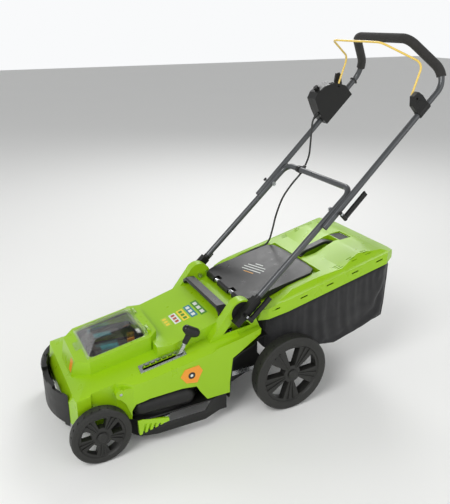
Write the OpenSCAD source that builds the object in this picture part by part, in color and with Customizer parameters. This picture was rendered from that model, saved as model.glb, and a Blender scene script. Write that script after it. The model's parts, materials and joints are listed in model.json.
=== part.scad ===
// Battery push lawn mower with a height lever, a folding handle, a rear flap and a grass bag.
// Millimetres, +Z up, front of the mower towards -Y, the mower's left side towards +X.

/* [Wheels and axles] */
// Distance between the front and rear axles
wheel_base = 594; // [480:1:720]
// Diameter of a front wheel
front_wheel_d = 170; // [140:1:204]
// Diameter of a rear wheel
rear_wheel_d = 250; // [205:1:300]
// Width of a front wheel
front_wheel_w = 34; // [24:1:42]
// Width of a rear wheel
rear_wheel_w = 42; // [34:1:52]
// Gap between the hood's flank and a front wheel
wheel_gap = 12; // [8:0.5:20]
// Diameter of the steel axle rods
axle_d = 12; // [9:0.5:15]
// Crank radius of the height adjustment
crank_r = 36; // [28:0.1:40]
// Half of the lever's swing between its end notches, in degrees
lever_half_swing = 31; // [20:1:36]

/* [Deck] */
// Width of the green hood over its flanks
hood_w = 402; // [340:1:480]
// Width of the hood's narrow front part, between the front wheels
nose_w = 358; // [300:1:380]
// Width of the cutting deck's skirt
skirt_w = 432; // [370:1:500]
// Height of the skirt's lower edge above the ground
ground_gap = 35; // [25:1:60]
// Wall of the moulded hood
hood_wall = 3.2; // [2:0.1:5]
// Wall of the cutting deck
deck_wall = 3.5; // [2:0.1:6]

/* [Blade and motor] */
// Length of the blade over its tips
blade_l = 360; // [280:1:372]
// Width of the blade
blade_w = 48; // [36:1:60]
// Thickness of the blade
blade_t = 3; // [2:0.1:4]
// Diameter of the motor housing
motor_d = 132; // [100:1:160]
// Diameter of the motor shaft
shaft_d = 14; // [10:0.5:18]

/* [Handle] */
// Diameter of the handle tubes
tube_d = 19; // [15:0.5:23]
// Wall of the handle tubes
tube_wall = 1.5; // [1:0.1:3]
// Distance between the centre lines of the lower frame's legs
lower_track = 364; // [320:1:400]
// Length of a lower leg from its pivot to the crossbar
lower_leg = 496; // [400:1:600]
// Lean of the lower frame above the horizontal, in degrees
lower_lean = 42.4; // [30:0.1:60]
// Lean of the upper handle above the horizontal, in degrees
upper_lean = 44.1; // [30:0.1:60]
// Distance from the lower pivot to the upper bolt
fold_at = 410; // [330:1:440]
// Length of an upper leg from its bolt to the bend
upper_leg = 537; // [440:1:640]
// Diameter of the foam grip
grip_d = 29; // [25:0.5:36]
// Diameter of the bail's wire
bail_d = 6.5; // [5:0.1:9]

/* [Battery bay] */
// Half width of the bay's opening
bay_half_w = 88; // [80:1:98]
// Length of the bay's opening
bay_l = 196; // [180:1:210]
// Width of one battery pack
pack_w = 76; // [60:1:78]
// Length of one battery pack
pack_l = 118; // [100:1:124]
// Height of one battery pack
pack_h = 62; // [50:1:66]
// Wall of the clear lid
lid_wall = 2.4; // [1.5:0.1:4]

/* [Grass bag] */
// Width of the bag over its lid's rim
bag_w = 396; // [340:1:440]
// Length of the bag's lid
bag_l = 516; // [420:1:620]
// Depth of the fabric under the lid at the rear
bag_depth = 205; // [150:1:240]

/* [Fits] */
// Radial clearance of a running shaft or pin
run_fit = 0.05; // [0.02:0.01:0.1]
// Gap between solids of different pieces that don't fit together
part_gap = 0.4; // [0.3:0.1:1]

/* [Hidden] */
$fn = 48;

// Stations along the mower, measured from the front axle before the frame is centred
front_r = front_wheel_d / 2;
rear_r = rear_wheel_d / 2;
tube_r = tube_d / 2;
rear_y = wheel_base;
hood_front_y = -66;
step_y = 97;
column_y = rear_y - 249;
green_end_y = rear_y - 194;
wing_end_y = rear_y - 84;
pivot_y = rear_y - 139;
pivot_z = 336;
hx = hood_w / 2;
nx = nose_w / 2;
sx = skirt_w / 2;

// Directions of the lower frame and the upper handle
lower_u = [0, cos(lower_lean), sin(lower_lean)];
upper_u = [0, cos(upper_lean), sin(upper_lean)];
fold_y = pivot_y + fold_at * lower_u[1];
fold_z = pivot_z + fold_at * lower_u[2];
lower_x = lower_track / 2;
upper_x = lower_x + tube_d + part_gap;

// The handle's top loop leans forward from the bend above each leg
loop_r = 60;
loop_top_half = 124;
loop_v = [upper_x, fold_y + upper_leg * upper_u[1], fold_z + upper_leg * upper_u[2]];
loop_end = [loop_top_half, loop_v[1] - 104, loop_v[2] + 111];
loop_dir = unit(loop_end - loop_v);
grip_r = grip_d / 2;

// The frame stands on the ground with its origin under the middle of its box
bumper_front_y = -106;
loop_c = loop_v + (loop_dir - upper_u) * loop_r / norm(loop_dir - upper_u) / cos(acos(upper_u * loop_dir) / 2);
loop_w = unit(loop_dir - (loop_dir * upper_u) * upper_u);
handle_rear_y = loop_c[1] + loop_r * sqrt(pow(upper_u[1], 2) + pow(loop_w[1], 2)) + grip_r;
mid_y = (bumper_front_y + handle_rear_y) / 2;

// Colours
GREEN = "#9fc927";
BLACK = "#2e2e2d";
TUBE = "#5b5d60";
STEEL = "#9a9da1";
FOAM = "#3a3938";
YELLOW = "#ecd774";
ORANGE = "#f0a53a";

// ---------------------------------------------------------------- helpers

function unit(v) = v / norm(v);
function mirrored(pts) = concat(pts, [for (i = [len(pts) - 1:-1:0]) [-pts[i][0], pts[i][1], pts[i][2]]]);

// Puts a sub-part from the front axle's frame into the part's frame
module placed() translate([0, -mid_y, 0]) children();

// One copy as drawn and one on the other side of the middle plane
module both_sides() {
    children();
    mirror([1, 0, 0]) children();
}

// A shape drawn in side view, with its Y and Z as drawn, from x0 to x1
module side_slab(x0, x1) translate([x0, 0, 0]) rotate([90, 0, 90]) linear_extrude(x1 - x0) children();

// A shape drawn in plan, from z0 to z1
module plan_slab(z0, z1) translate([0, 0, z0]) linear_extrude(z1 - z0) children();

// A shape drawn in front view, with its X and Z as drawn, from y0 to y1
module front_slab(y0, y1) translate([0, y1, 0]) rotate([90, 0, 0]) linear_extrude(y1 - y0) children();

// A rod along X
module x_rod(r, x0, x1, fn = 48) translate([x0, 0, 0]) rotate([0, 90, 0]) cylinder(r = r, h = x1 - x0, $fn = fn);

// Rectangle with round corners
module round_rect(w, h, r) {
    square([w - 2 * r, h], center = true);
    square([w, h - 2 * r], center = true);
    for (x = [-1, 1], y = [-1, 1]) translate([x * (w / 2 - r), y * (h / 2 - r)]) circle(r);
}

// A rigid frame whose Z runs along w and whose X runs along u
module frame_at(o, u, w) {
    v = cross(w, u);
    multmatrix([[u[0], v[0], w[0], o[0]], [u[1], v[1], w[1], o[1]], [u[2], v[2], w[2], o[2]], [0, 0, 0, 1]])
        children();
}

// Any unit vector square to d
function square_to(d) = unit(cross(d, abs(d[0]) < 0.9 ? [1, 0, 0] : [0, 1, 0]));

// A stretch of ring section from a to b
module ring_run(a, b, r, ri) {
    d = unit(b - a);
    frame_at(a, square_to(d), d) linear_extrude(norm(b - a)) ring(r, ri);
}

module ring(r, ri) difference() {
    circle(r);
    if (ri > 0) circle(ri);
}

// The bend at b on the way from a to c, from fraction f0 to f1 of its turn
module ring_bend(a, b, c, bend, r, ri, f0 = 0, f1 = 1) {
    u = unit(b - a);
    w = unit(c - b);
    turn = acos(u * w);
    side = unit(w - (w * u) * u);
    start = b - u * bend * tan(turn / 2);
    centre = start + side * bend;
    axis = cross(-side, u);
    frame_at(centre, -side, axis) rotate([0, 0, f0 * turn]) rotate_extrude(angle = (f1 - f0) * turn)
        translate([bend, 0]) ring(r, ri);
}

function bend_leg(p, i, bends) = bends[i] * tan(acos(unit(p[i] - p[i - 1]) * unit(p[i + 1] - p[i])) / 2);
function inner(p, i) = i > 0 && i < len(p) - 1;

// A pipe through the points p, bent to radius bends[i] at point i, with a thin weld at each end of a bend.
// It starts and ends within its first and last bend where skip, a fraction of their turn, isn't 0.
weld = 0.12;
module pipe(p, bends, r, ri = 0, skip = 0) {
    last = len(p) - 2;
    for (i = [0:last]) {
        d = unit(p[i + 1] - p[i]);
        a = p[i] + d * (inner(p, i) ? bend_leg(p, i, bends) : 0);
        b = p[i + 1] - d * (inner(p, i + 1) ? bend_leg(p, i + 1, bends) : 0);
        if (skip == 0 || (i > 0 && i < last))
            ring_run(a + (inner(p, i) ? weld : 0) * d, b - (inner(p, i + 1) ? weld : 0) * d, r, ri);
        if (inner(p, i)) pipe_weld(a, d, r, ri);
        if (inner(p, i + 1)) if (skip == 0 || i > 0) pipe_weld(b, d, r, ri);
    }
    for (i = [1:last])
        ring_bend(p[i - 1], p[i], p[i + 1], bends[i], r, ri, i == 1 ? skip : 0, i == last ? 1 - skip : 1);
}

module pipe_weld(at, d, r, ri) ring_run(at - 5 * weld * d, at + 5 * weld * d, r + weld, ri > 0 ? ri - weld : 0);

// Faces and points of a tube swept round the route p with n sides
function tangent(p, i) = unit(p[min(i + 1, len(p) - 1)] - p[max(i - 1, 0)]);
function carry(p, i) = i == 0 ? square_to(tangent(p, 0))
    : let (u = carry(p, i - 1), t = tangent(p, i)) unit(u - (u * t) * t);
function sweep_points(p, r, n) = [for (i = [0:len(p) - 1]) let (t = tangent(p, i), u = carry(p, i), v = cross(t, u))
    for (k = [0:n - 1]) p[i] + r * (cos(360 * k / n) * u + sin(360 * k / n) * v)];
function sweep_faces(m, n) = concat(
    [[for (k = [0:n - 1]) k]], [[for (k = [n - 1:-1:0]) (m - 1) * n + k]],
    [for (i = [0:m - 2], k = [0:n - 1]) let (k1 = (k + 1) % n) each
        [[i * n + k, (i + 1) * n + k, (i + 1) * n + k1], [i * n + k, (i + 1) * n + k1, i * n + k1]]]);
module swept(p, r, n = 8) polyhedron(sweep_points(p, r, n), sweep_faces(len(p), n));

// Catmull-Rom points through the hand-chosen points q, k steps each
function spline(q, k) = concat([for (i = [0:len(q) - 2], j = [0:k - 1])
    let (t = j / k, a = q[max(i - 1, 0)], b = q[i], c = q[i + 1], d = q[min(i + 2, len(q) - 1)])
    0.5 * (2 * b + (c - a) * t + (2 * a - 5 * b + 4 * c - d) * t * t + (3 * b - a - 3 * c + d) * t * t * t)],
    [q[len(q) - 1]]);

// ---------------------------------------------------------------- deck hood

// Height of the shoulder where it meets the bay's wall, at station y
shoulder_x = 105;
function shoulder_z(y) = 213 + 0.17 * y;
// The shoulder falls outwards by this much per millimetre
shoulder_fall = 0.2;
hood_low_z = 92;
bay_front_y = -26;
bay_rear_y = bay_front_y + bay_l + 45;
function bay_top_z(y) = 253 + 0.19 * y;
ear_inner_x = 139;
ear_outer_x = 171;
ear_r = 40;
disc_r = 34;
panel_end_y = rear_y - 100;

// Hood body in side view, grown or shrunk by inset i
module hood_side(i) {
    polygon([
        [hood_front_y + i, hood_low_z - i * 2],
        [hood_front_y - 4 + i, 150],
        [hood_front_y + 12 + i, 186 - i],
        [0, shoulder_z(0) - i],
        [bay_rear_y, shoulder_z(bay_rear_y) - i],
        [column_y + 20, shoulder_z(column_y + 20) - i],
        [green_end_y + 40 - i, 285 - i],
        [green_end_y + 40 - i, 240],
        [green_end_y - i, 240],
        [green_end_y - i, hood_low_z - i * 2]
    ]);
}

// Hood body in plan
module hood_plan(i) {
    half = [
        [70, hood_front_y - 20 + i],
        [nx - 44 - i, hood_front_y + 2 + i],
        [nx + 2 - i, hood_front_y + 14 + i],
        [nx + 2 - i, -14],
        [nx - 5 - i, -10],
        [nx - 5 - i, step_y - 38],
        [nx - i, step_y - 28],
        [hx - 4 - i, step_y + 6],
        [hx - i, step_y + 40],
        [hx - i, green_end_y + 60]
    ];
    polygon(concat(half, [for (k = [len(half) - 1:-1:0]) [-half[k][0], half[k][1]]]));
}

// Falling shoulders along the hood, cut by a sloping wedge on each side
module shoulder_cut(i) both_sides() {
    y0 = hood_front_y - 30;
    y1 = green_end_y + 80;
    for (band = [[shoulder_x, hx - 24, shoulder_fall], [hx - 24, hx + 30, 0.55]]) {
        drop0 = band[0] == shoulder_x ? 0 : (hx - 24 - shoulder_x) * shoulder_fall;
        z0 = shoulder_z(y0) - i - drop0;
        z1 = shoulder_z(y1) - i - drop0;
        run = band[1] - band[0];
        fall = run * band[2];
        polyhedron([
            [band[0], y0, z0], [band[1], y0, z0 - fall], [band[1], y1, z1 - fall], [band[0], y1, z1],
            [band[0], y0, z1 + 90], [band[1], y0, z1 + 90], [band[1], y1, z1 + 90], [band[0], y1, z1 + 90]
        ], [[0, 1, 2, 3], [7, 6, 5, 4], [0, 4, 5, 1], [1, 5, 6, 2], [2, 6, 7, 3], [3, 7, 4, 0]]);
    }
}

module hood_body(i) difference() {
    intersection() {
        side_slab(-hx - 5, hx + 5) hood_side(i);
        plan_slab(hood_low_z - 20, 320) hood_plan(i);
    }
    shoulder_cut(i);
}

// Raised wall round the battery bay, with a nose in front
module bay_block(i) {
    half = [
        [46 - i, bay_front_y - 16 + i],
        [62 - i, bay_front_y - 12 + i],
        [bay_half_w + 20 - i, bay_front_y + 34 + i],
        [bay_half_w + 20 - i, bay_rear_y - 26 - i],
        [bay_half_w - 4 - i, bay_rear_y - i]
    ];
    intersection() {
        plan_slab(150, 340) polygon(concat(half, [for (k = [len(half) - 1:-1:0]) [-half[k][0], half[k][1]]]));
        side_slab(-hx, hx) polygon([
            [bay_front_y - 17 + i, 150], [bay_front_y - 17 + i, 182], [bay_front_y + i, bay_top_z(bay_front_y) - i],
            [bay_rear_y, bay_top_z(bay_rear_y) - i], [bay_rear_y, 150]
        ]);
    }
}

// Rising panel between the bay and the rear flap, that carries the ears
module rear_panel(i) side_slab(-ear_inner_x - 6 + i, ear_inner_x + 6 - i) polygon([
    [bay_rear_y - 20 + i, shoulder_z(bay_rear_y) - 30],
    [bay_rear_y - 20 + i, bay_top_z(bay_rear_y) - 22 - i],
    [bay_rear_y + 24, bay_top_z(bay_rear_y) - 26 - i],
    [pivot_y - 40, 318 - i],
    [panel_end_y - i, 330 - i],
    [panel_end_y - i, 262],
    [green_end_y - i, 240],
    [green_end_y - i, 200]
]);

// An ear that carries the handle's pivot, and the fairing in front of it
module ear(i) side_slab(ear_inner_x + i, ear_outer_x - i) {
    translate([pivot_y, pivot_z]) circle(ear_r - i);
    polygon([
        [pivot_y - 28, pivot_z + 28 - i], [pivot_y - 104 + i, 268 - i], [pivot_y - 114, 232],
        [pivot_y + 30, 232], [pivot_y + 62 - i, 272], [pivot_y + 38 - i, pivot_z - 4]
    ]);
}

// Wing beside the pivot, that reaches back over the rear wheel's front
module wing(i) {
    wing_low = 208;
    intersection() {
        side_slab(ear_outer_x - 12, hx - i) polygon([
            [column_y - 2 + i, wing_low - 80],
            [column_y - 2 + i, 243 - i], [column_y + 19, 254 - i],
            [wing_end_y - i, 280 - i], [wing_end_y - 2 - i, 262],
            [green_end_y + 44, wing_low + 20], [green_end_y + 10, wing_low], [green_end_y - i, wing_low - 80]
        ]);
        plan_slab(100, 320) polygon([
            [ear_outer_x - 12, column_y - 20], [hx - i, column_y - 20], [hx - i, green_end_y + 40],
            [hx - 8 - i, wing_end_y], [ear_outer_x - 12, wing_end_y + 6]
        ]);
    }
}

module hood_solid(i) {
    hood_body(i);
    bay_block(i);
    rear_panel(i);
    both_sides() {
        ear(i);
        wing(i);
    }
}

// Window in the flank through which the deck's side bulge shows
module bulge_window() side_slab(nx - 20, hx + 6) polygon([
    [step_y - 2, hood_low_z - 10], [step_y - 2, 120], [step_y + 10, 140], [step_y + 49, 149],
    [column_y - 100, 152], [column_y - 54, 146], [column_y - 42, 124], [column_y - 20, 92], [column_y - 14, 60]
]);

// Bosses on the flank that take the screws of the hood
boss_front = [nx + 13, 67, 183];
boss_rear = [hx, column_y - 24, 148];
module hood_bosses() both_sides() {
    side_slab(nx - 10, nx + 17) {
        translate([boss_front[1], boss_front[2]]) circle(15);
        polygon([
            [boss_front[1] - 15, boss_front[2]], [boss_front[1] + 15, boss_front[2] + 15],
            [step_y + 8, boss_front[2] + 12], [step_y + 4, 100], [boss_front[1] + 29, 100], [boss_front[1] + 12, 150]
        ]);
    }
}

screw_r = 2.4;
screw_head_r = 4.2;

lever_x = 165;
lever_y = 195;
lever_z = 150;
slot_z = shoulder_z(lever_y) - (lever_x - shoulder_x) * shoulder_fall;
// The slot's middle lies behind the lever's pin, as the shoulder rises to the rear
slot_y = lever_y + 7;
slot_half = tan(lever_half_swing) * (slot_z - lever_z) + 10;
slot_w = 14;

module lever_slot(z0, z1, grow) plan_slab(z0, z1) translate([lever_x, slot_y])
    round_rect(slot_w + 2 * grow, 2 * (slot_half + grow), 4);

// The opening that the battery tray hangs in
bay_mid_y = bay_front_y + 34 + bay_l / 2 - 8;
module bay_opening(grow, z0, z1) plan_slab(z0, z1) translate([0, bay_mid_y])
    round_rect(2 * (bay_half_w + grow), bay_l - 26 + 2 * grow, 16);

module deck_hood() color(GREEN) placed() {
    lid_knuckles();
    hood_shell();
}

// Window that the linkage rod passes through, between two stations
module rod_window(y0, y1) both_sides() translate([rod_x - 8, y0, rod_z - 14]) cube([12, y1 - y0, 34]);

module hood_shell() difference() {
    union() {
        difference() {
            hood_solid(0);
            hood_solid(hood_wall);
        }
        hood_bosses();
        cable_gland();
    }
    bay_opening(0, 120, 330);
    lever_slot(150, 300, 0);
    both_sides() {
        bulge_window();
        translate([0, boss_front[1], boss_front[2]]) x_rod(screw_r, nx - 30, hx + 10);
        translate([0, boss_front[1], boss_front[2]]) x_rod(screw_head_r + part_gap, nx + 13, hx + 10);
        translate([0, pivot_y, pivot_z]) x_rod(clamp_bolt_r + run_fit, ear_inner_x - 10, ear_outer_x + 10);
        translate([0, pivot_y, pivot_z]) x_rod(disc_r + part_gap, ear_outer_x - disc_t - part_gap, ear_outer_x + 5, 96);
        // Open recess under the pivot disc
        side_slab(ear_outer_x - hood_wall, ear_outer_x + 4) polygon([
            [pivot_y - 62, 276], [pivot_y - 20, 326], [pivot_y + 20, 300], [pivot_y + 30, 288]
        ]);
    }
    // Ways out for the linkage rod, and seats of the flap's pin
    rod_window(green_end_y - 10, green_end_y + 4);
    translate([0, hinge_y, hinge_z]) x_rod(flap_pin_r + run_fit, -ear_inner_x - flap_pin_seat, ear_inner_x + flap_pin_seat);
    // Open underside and open rear
    plan_slab(0, hood_low_z) square([600, 3000], center = true);
    side_slab(-ear_inner_x + 14, ear_inner_x - 14) polygon([
        [green_end_y - 12, 60], [green_end_y - 12, 236], [pivot_y - 20, 262], [pivot_y, 322],
        [panel_end_y + 20, 324], [panel_end_y + 20, 60]
    ]);
}

// ---------------------------------------------------------------- cutting deck

blade_y = 190;
chamber_r = 196;
chamber_top = 96;
skirt_top = 88;

module skirt_plan(i) {
    half = [
        [100 - i, 16 + i], [nx - 14 - i, 26 + i], [nx - 14 - i, step_y - 16],
        [sx - 12 - i, step_y + 16], [sx - i, blade_y - 30], [sx - i, column_y - 34],
        [sx - 22 - i, column_y + 24], [sx - 22 - i, green_end_y - 8 - i]
    ];
    polygon(concat(half, [for (k = [len(half) - 1:-1:0]) [-half[k][0], half[k][1]]]));
}

// Long rounded bulge of the deck's scroll, showing on the flank
module side_bulge(i) both_sides() intersection() {
    hull() for (p = [[step_y + 30, 116, 26], [step_y + 110, 117, 34], [column_y - 82, 112, 32]])
        translate([sx - 14 - p[2], p[0], p[1]]) sphere(r = p[2] - i, $fn = 24);
    side_slab(lever_x + 8, sx) square([4000, 400], center = true);
}

module cutting_deck() color(BLACK) placed() difference() {
    union() {
        difference() {
            union() {
                plan_slab(ground_gap, skirt_top) skirt_plan(0);
                translate([0, blade_y, ground_gap]) cylinder(r = chamber_r, h = chamber_top - ground_gap, $fn = 96);
                side_slab(-chute_half, chute_half) polygon([
                    [green_end_y - 30, skirt_top - 2], [green_end_y - 8, skirt_top - 2], [green_end_y - 8, 180],
                    [green_end_y - 30, 130]
                ]);
            }
            plan_slab(ground_gap - 1, skirt_top - deck_wall) skirt_plan(deck_wall);
            translate([0, blade_y, ground_gap - 1]) cylinder(
                r = chamber_r - deck_wall, h = chamber_top - ground_gap - deck_wall + 1, $fn = 96);
            // Way from the chamber back into the chute
            side_slab(-104, 104) polygon([
                [blade_y + 60, ground_gap - 2], [blade_y + 60, skirt_top - deck_wall],
                [green_end_y - 40, skirt_top - deck_wall], [green_end_y - 20, 176], [green_end_y, 176],
                [green_end_y, ground_gap - 2]
            ]);
        }
        side_bulge(0);
    }
    side_bulge(deck_wall);
    // Foot rail bevel along the flank, and the comb's pocket
    both_sides() {
        comb_pocket(part_gap);
        front_slab(step_y - 40, green_end_y + 10) polygon([
            [sx + 0.5, ground_gap + 18], [sx - 13, skirt_top + 0.5], [sx + 0.5, skirt_top + 0.5]
        ]);
    }
    // Motor seat and its screws
    translate([0, blade_y, 60]) cylinder(r = shaft_d / 2 + 14, h = 80);
    plan_slab(80, 120) for (a = [45:90:315]) translate([0, blade_y]) rotate(a) translate([motor_d / 2 - 9, 0]) circle(screw_r);
}

comb_y0 = step_y + 10;
comb_l = 92;
module comb_pocket(grow) side_slab(sx - 16 - grow, sx + 2) polygon([
    [comb_y0 - grow, ground_gap + 14 - grow], [comb_y0 - grow, ground_gap + 56 + grow],
    [comb_y0 + comb_l + grow, ground_gap + 38 + grow], [comb_y0 + comb_l + grow, ground_gap + 30 - grow]
]);

// Green comb that lifts the grass at the lawn's edge
module edge_combs() color(GREEN) placed() both_sides() {
    tooth = 7;
    difference() {
        intersection() {
            comb_pocket(0);
            front_slab(0, 600) polygon([
                [sx - 15, ground_gap], [sx + 1, ground_gap], [sx + 1, ground_gap + 16], [sx - 12, skirt_top], [sx - 15, skirt_top]
            ]);
        }
        for (k = [0:5]) side_slab(sx - 9, sx + 2) polygon([
            [comb_y0 + 6 + k * 2 * tooth, ground_gap + 10], [comb_y0 + 6 + k * 2 * tooth + tooth, ground_gap + 10],
            [comb_y0 + 18 + k * 2 * tooth + tooth, ground_gap + 40 - k * 3], [comb_y0 + 18 + k * 2 * tooth, ground_gap + 40 - k * 3]
        ]);
    }
}

// ---------------------------------------------------------------- bumper

bumper_r = 236;
module bumper_band(r, t) intersection() {
    translate([0, bumper_front_y + bumper_r]) difference() {
        circle(r, $fn = 96);
        circle(r - t, $fn = 96);
    }
    translate([-nx + 2, bumper_front_y - 20]) square([2 * nx - 4, 92]);
}

module front_bumper() color(BLACK) placed() difference() {
    union() {
        plan_slab(86, 178) bumper_band(bumper_r, 16);
        plan_slab(96, 150) bumper_band(bumper_r - 15, 22);
        // Shelf that closes the gap to the hood
        plan_slab(140, 166) bumper_band(bumper_r - 15, 60);
        // Thicker pads at the corners
        both_sides() intersection() {
            plan_slab(80, 184) translate([0, bumper_front_y + bumper_r + 2]) circle(bumper_r + 1.9, $fn = 96);
            plan_slab(80, 184) polygon([[nx - 66, -200], [nx - 2, -200], [nx - 2, -48], [nx - 24, -48], [nx - 66, -74]]);
        }
        // Pads beside the middle
        both_sides() intersection() {
            plan_slab(100, 186) bumper_band(bumper_r, 20);
            plan_slab(100, 186) polygon([[40, -200], [70, -200], [70, 0], [40, 0]]);
        }
    }
    plan_slab(60, 200) translate([0, hood_front_y - 20 - part_gap + 200]) square([150, 400], center = true);
    plan_slab(60, 200) offset_hood();
}

// Space that the hood's nose takes behind the bumper
module offset_hood() translate([0, -part_gap]) hood_plan(-part_gap);

// ---------------------------------------------------------------- battery bay

tray_low_z = 176;
module battery_tray() color(BLACK) placed() difference() {
    union() {
        bay_opening(-part_gap, tray_low_z, 251);
        // Flange under the hood's top
        intersection() {
            bay_opening(8, 190, 330);
            tray_band(-4);
        }
    }
    bay_opening(-part_gap - 3, tray_low_z + 3, 340);
    tray_band(200);
}

// Band between the tray's sloping top and a line h above it
tray_gap = hood_wall + 1.2;
module tray_band(h) side_slab(-hx, hx) polygon([for (p = [[0, 0], [1, 0], [1, 1], [0, 1]])
    let (y = p[0] == 0 ? bay_front_y - 20 : bay_rear_y) [y, bay_top_z(y) - tray_gap + p[1] * h]]);

pack_z = tray_low_z + 3 + part_gap;
pack_y = bay_mid_y - 14;
pack_x = pack_w / 2 + 2;

// A battery pack: case, release button, rail and level window
module pack(x) color(BLACK) placed() translate([x, pack_y, pack_z]) difference() {
    union() {
        linear_extrude(pack_h) round_rect(pack_w, pack_l, 8);
        translate([0, -8, pack_h - 1]) linear_extrude(9) round_rect(pack_w - 20, pack_l - 36, 6);
        translate([0, pack_l / 2 - 22, pack_h + 7]) linear_extrude(3.5) round_rect(30, 13, 5);
    }
    for (x1 = [-1, 1]) translate([x1 * (pack_w / 2), 0, 14]) cube([5, pack_l - 30, 7], center = true);
    translate([0, -pack_l / 2, pack_h / 2]) cube([26, 3, 12], center = true);
}
module battery_left() pack(pack_x);
module battery_right() pack(-pack_x);

key_y = bay_mid_y + bay_l / 2 - 13 - 22;
module safety_key() color(ORANGE) placed() translate([0, key_y, pack_z]) {
    cylinder(r = 9, h = 42);
    translate([0, 0, 42]) linear_extrude(16) round_rect(8, 24, 3);
}

// Clear lid: a hipped cover on a flat rim, with a latch tab in front
lid_rear_y = bay_mid_y + bay_l / 2 - 6;
lid_front_y = bay_mid_y - bay_l / 2 + 6;
lid_rise = 30;
lid_lean = atan(0.19);
lid_len = (lid_rear_y - lid_front_y) / cos(lid_lean);
hinge_r = 3;
barrel_r = 5;
barrel_in = bay_half_w - 44;
barrel_out = bay_half_w - 14;

// Local frame on the bay's sloping rim: Y runs back along it from the lid's front edge
module at_lid() translate([0, lid_front_y, bay_top_z(lid_front_y) + part_gap]) rotate([lid_lean, 0, 0]) children();

module lid_form(i) hull() {
    translate([0, lid_len / 2, -i]) linear_extrude(2.2) square([2 * (bay_half_w + 3 - i), lid_len - 2 * i], center = true);
    translate([0, lid_len / 2 + 8, 0]) linear_extrude(lid_rise - i)
        square([2 * (bay_half_w - 38 - i * 0.6), lid_len - 66 - 1.2 * i], center = true);
}

module battery_lid() color("#dfe6e6", 0.4) placed() at_lid() {
    difference() {
        union() {
            lid_form(0);
            both_sides() translate([barrel_in, lid_len - 12, 0]) cube([barrel_out - barrel_in, 14, 6]);
            both_sides() translate([0, lid_len + 5, barrel_r]) x_rod(barrel_r, barrel_in, barrel_out);
        }
        lid_form(lid_wall);
        translate([0, lid_len + 5, barrel_r]) x_rod(hinge_r + run_fit, -bay_half_w, bay_half_w);
    }
    translate([-22, -18, 0]) cube([44, 22, 2.6]);
}

// Knuckles and pins of the lid's hinge, moulded on the hood
module lid_knuckles() at_lid() both_sides() translate([0, lid_len + 5, barrel_r]) {
    x_rod(hinge_r, barrel_in + 2, barrel_out + 9);
    x_rod(barrel_r, barrel_out + part_gap, barrel_out + 9);
    translate([barrel_out + part_gap, -barrel_r, -barrel_r - 2.5]) cube([9 - part_gap, 2 * barrel_r, barrel_r + 2.5]);
}

// ---------------------------------------------------------------- small deck pieces

module notch_plate() color(STEEL) placed() difference() {
    frame_w = 9;
    intersection() {
        lever_slot(200, 270, frame_w);
        polyhedron_slab(shoulder_x + 20, hx - 24, 0.3, 3.2);
    }
    lever_slot(190, 300, 0.3);
    for (k = [0:6]) plan_slab(190, 300) translate([lever_x - slot_w / 2 - 2.5, slot_y - slot_half + 8 + k * (2 * slot_half - 16) / 6])
        circle(3.2);
}

// A sheet that lies on the falling shoulder between x0 and x1
module polyhedron_slab(x0, x1, lift, t) {
    y0 = -60;
    y1 = green_end_y;
    function z(x, y) = shoulder_z(y) - (x - shoulder_x) * shoulder_fall + lift;
    polyhedron([
        [x0, y0, z(x0, y0)], [x1, y0, z(x1, y0)], [x1, y1, z(x1, y1)], [x0, y1, z(x0, y1)],
        [x0, y0, z(x0, y0) + t], [x1, y0, z(x1, y0) + t], [x1, y1, z(x1, y1) + t], [x0, y1, z(x0, y1) + t]
    ], [[0, 1, 2, 3], [7, 6, 5, 4], [0, 4, 5, 1], [1, 5, 6, 2], [2, 6, 7, 3], [3, 7, 4, 0]]);
}

// Carrying handle that bridges the two ears
carry_half = ear_inner_x - part_gap;
module carry_handle() color(BLACK) placed() translate([0, pivot_y - 44, 0]) {
    difference() {
        front_slab(-17, 17) polygon([
            [-carry_half, 321], [-carry_half, 332], [-carry_half + 22, 347], [carry_half - 22, 347],
            [carry_half, 332], [carry_half, 321], [carry_half - 10, 321], [carry_half - 10, 327],
            [carry_half - 26, 337], [-carry_half + 26, 337], [-carry_half + 10, 327], [-carry_half + 10, 321]
        ]);
        both_sides() for (s = [-1, 1]) side_slab(-200, 200) polygon([
            [s * 18, 349], [s * 12, 349], [s * 18, 341]
        ]);
    }
}

// Black body behind the chamber: the way to the bag, and the liners over the rear wheels
chute_half = 132;
chute_end_y = rear_y - 62;
module rear_chute() color(BLACK) placed() difference() {
    chute_walls();
    rod_window(green_end_y - 2, green_end_y + 30);
}

module chute_walls() {
    t = 3;
    side_slab(chute_half - t, chute_half) chute_side();
    side_slab(-chute_half, -chute_half + t) chute_side();
    side_slab(-chute_half, chute_half) polygon([
        [green_end_y + part_gap, 60], [chute_end_y, 112], [chute_end_y, 115], [green_end_y + part_gap, 64]
    ]);
    // Liners between the chute and the wings
    both_sides() {
        side_slab(chute_half - 1, ear_outer_x + 20) polygon([
            [green_end_y + part_gap, 66], [green_end_y + 13, 196], [green_end_y + 46, 215],
            [wing_end_y - 25, 228], [wing_end_y - 6, 249], [chute_end_y, 254], [chute_end_y, 250], [wing_end_y - 4, 245],
            [wing_end_y - 22, 224], [green_end_y + 48, 210], [green_end_y + 17, 192], [green_end_y + 5, 70]
        ]);
    }
}

module chute_side() polygon([
    [green_end_y + part_gap, 60], [green_end_y + part_gap, 232], [green_end_y + 40, 236],
    [panel_end_y, 258], [chute_end_y, 258],
    [chute_end_y, 112]
]);

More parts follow.
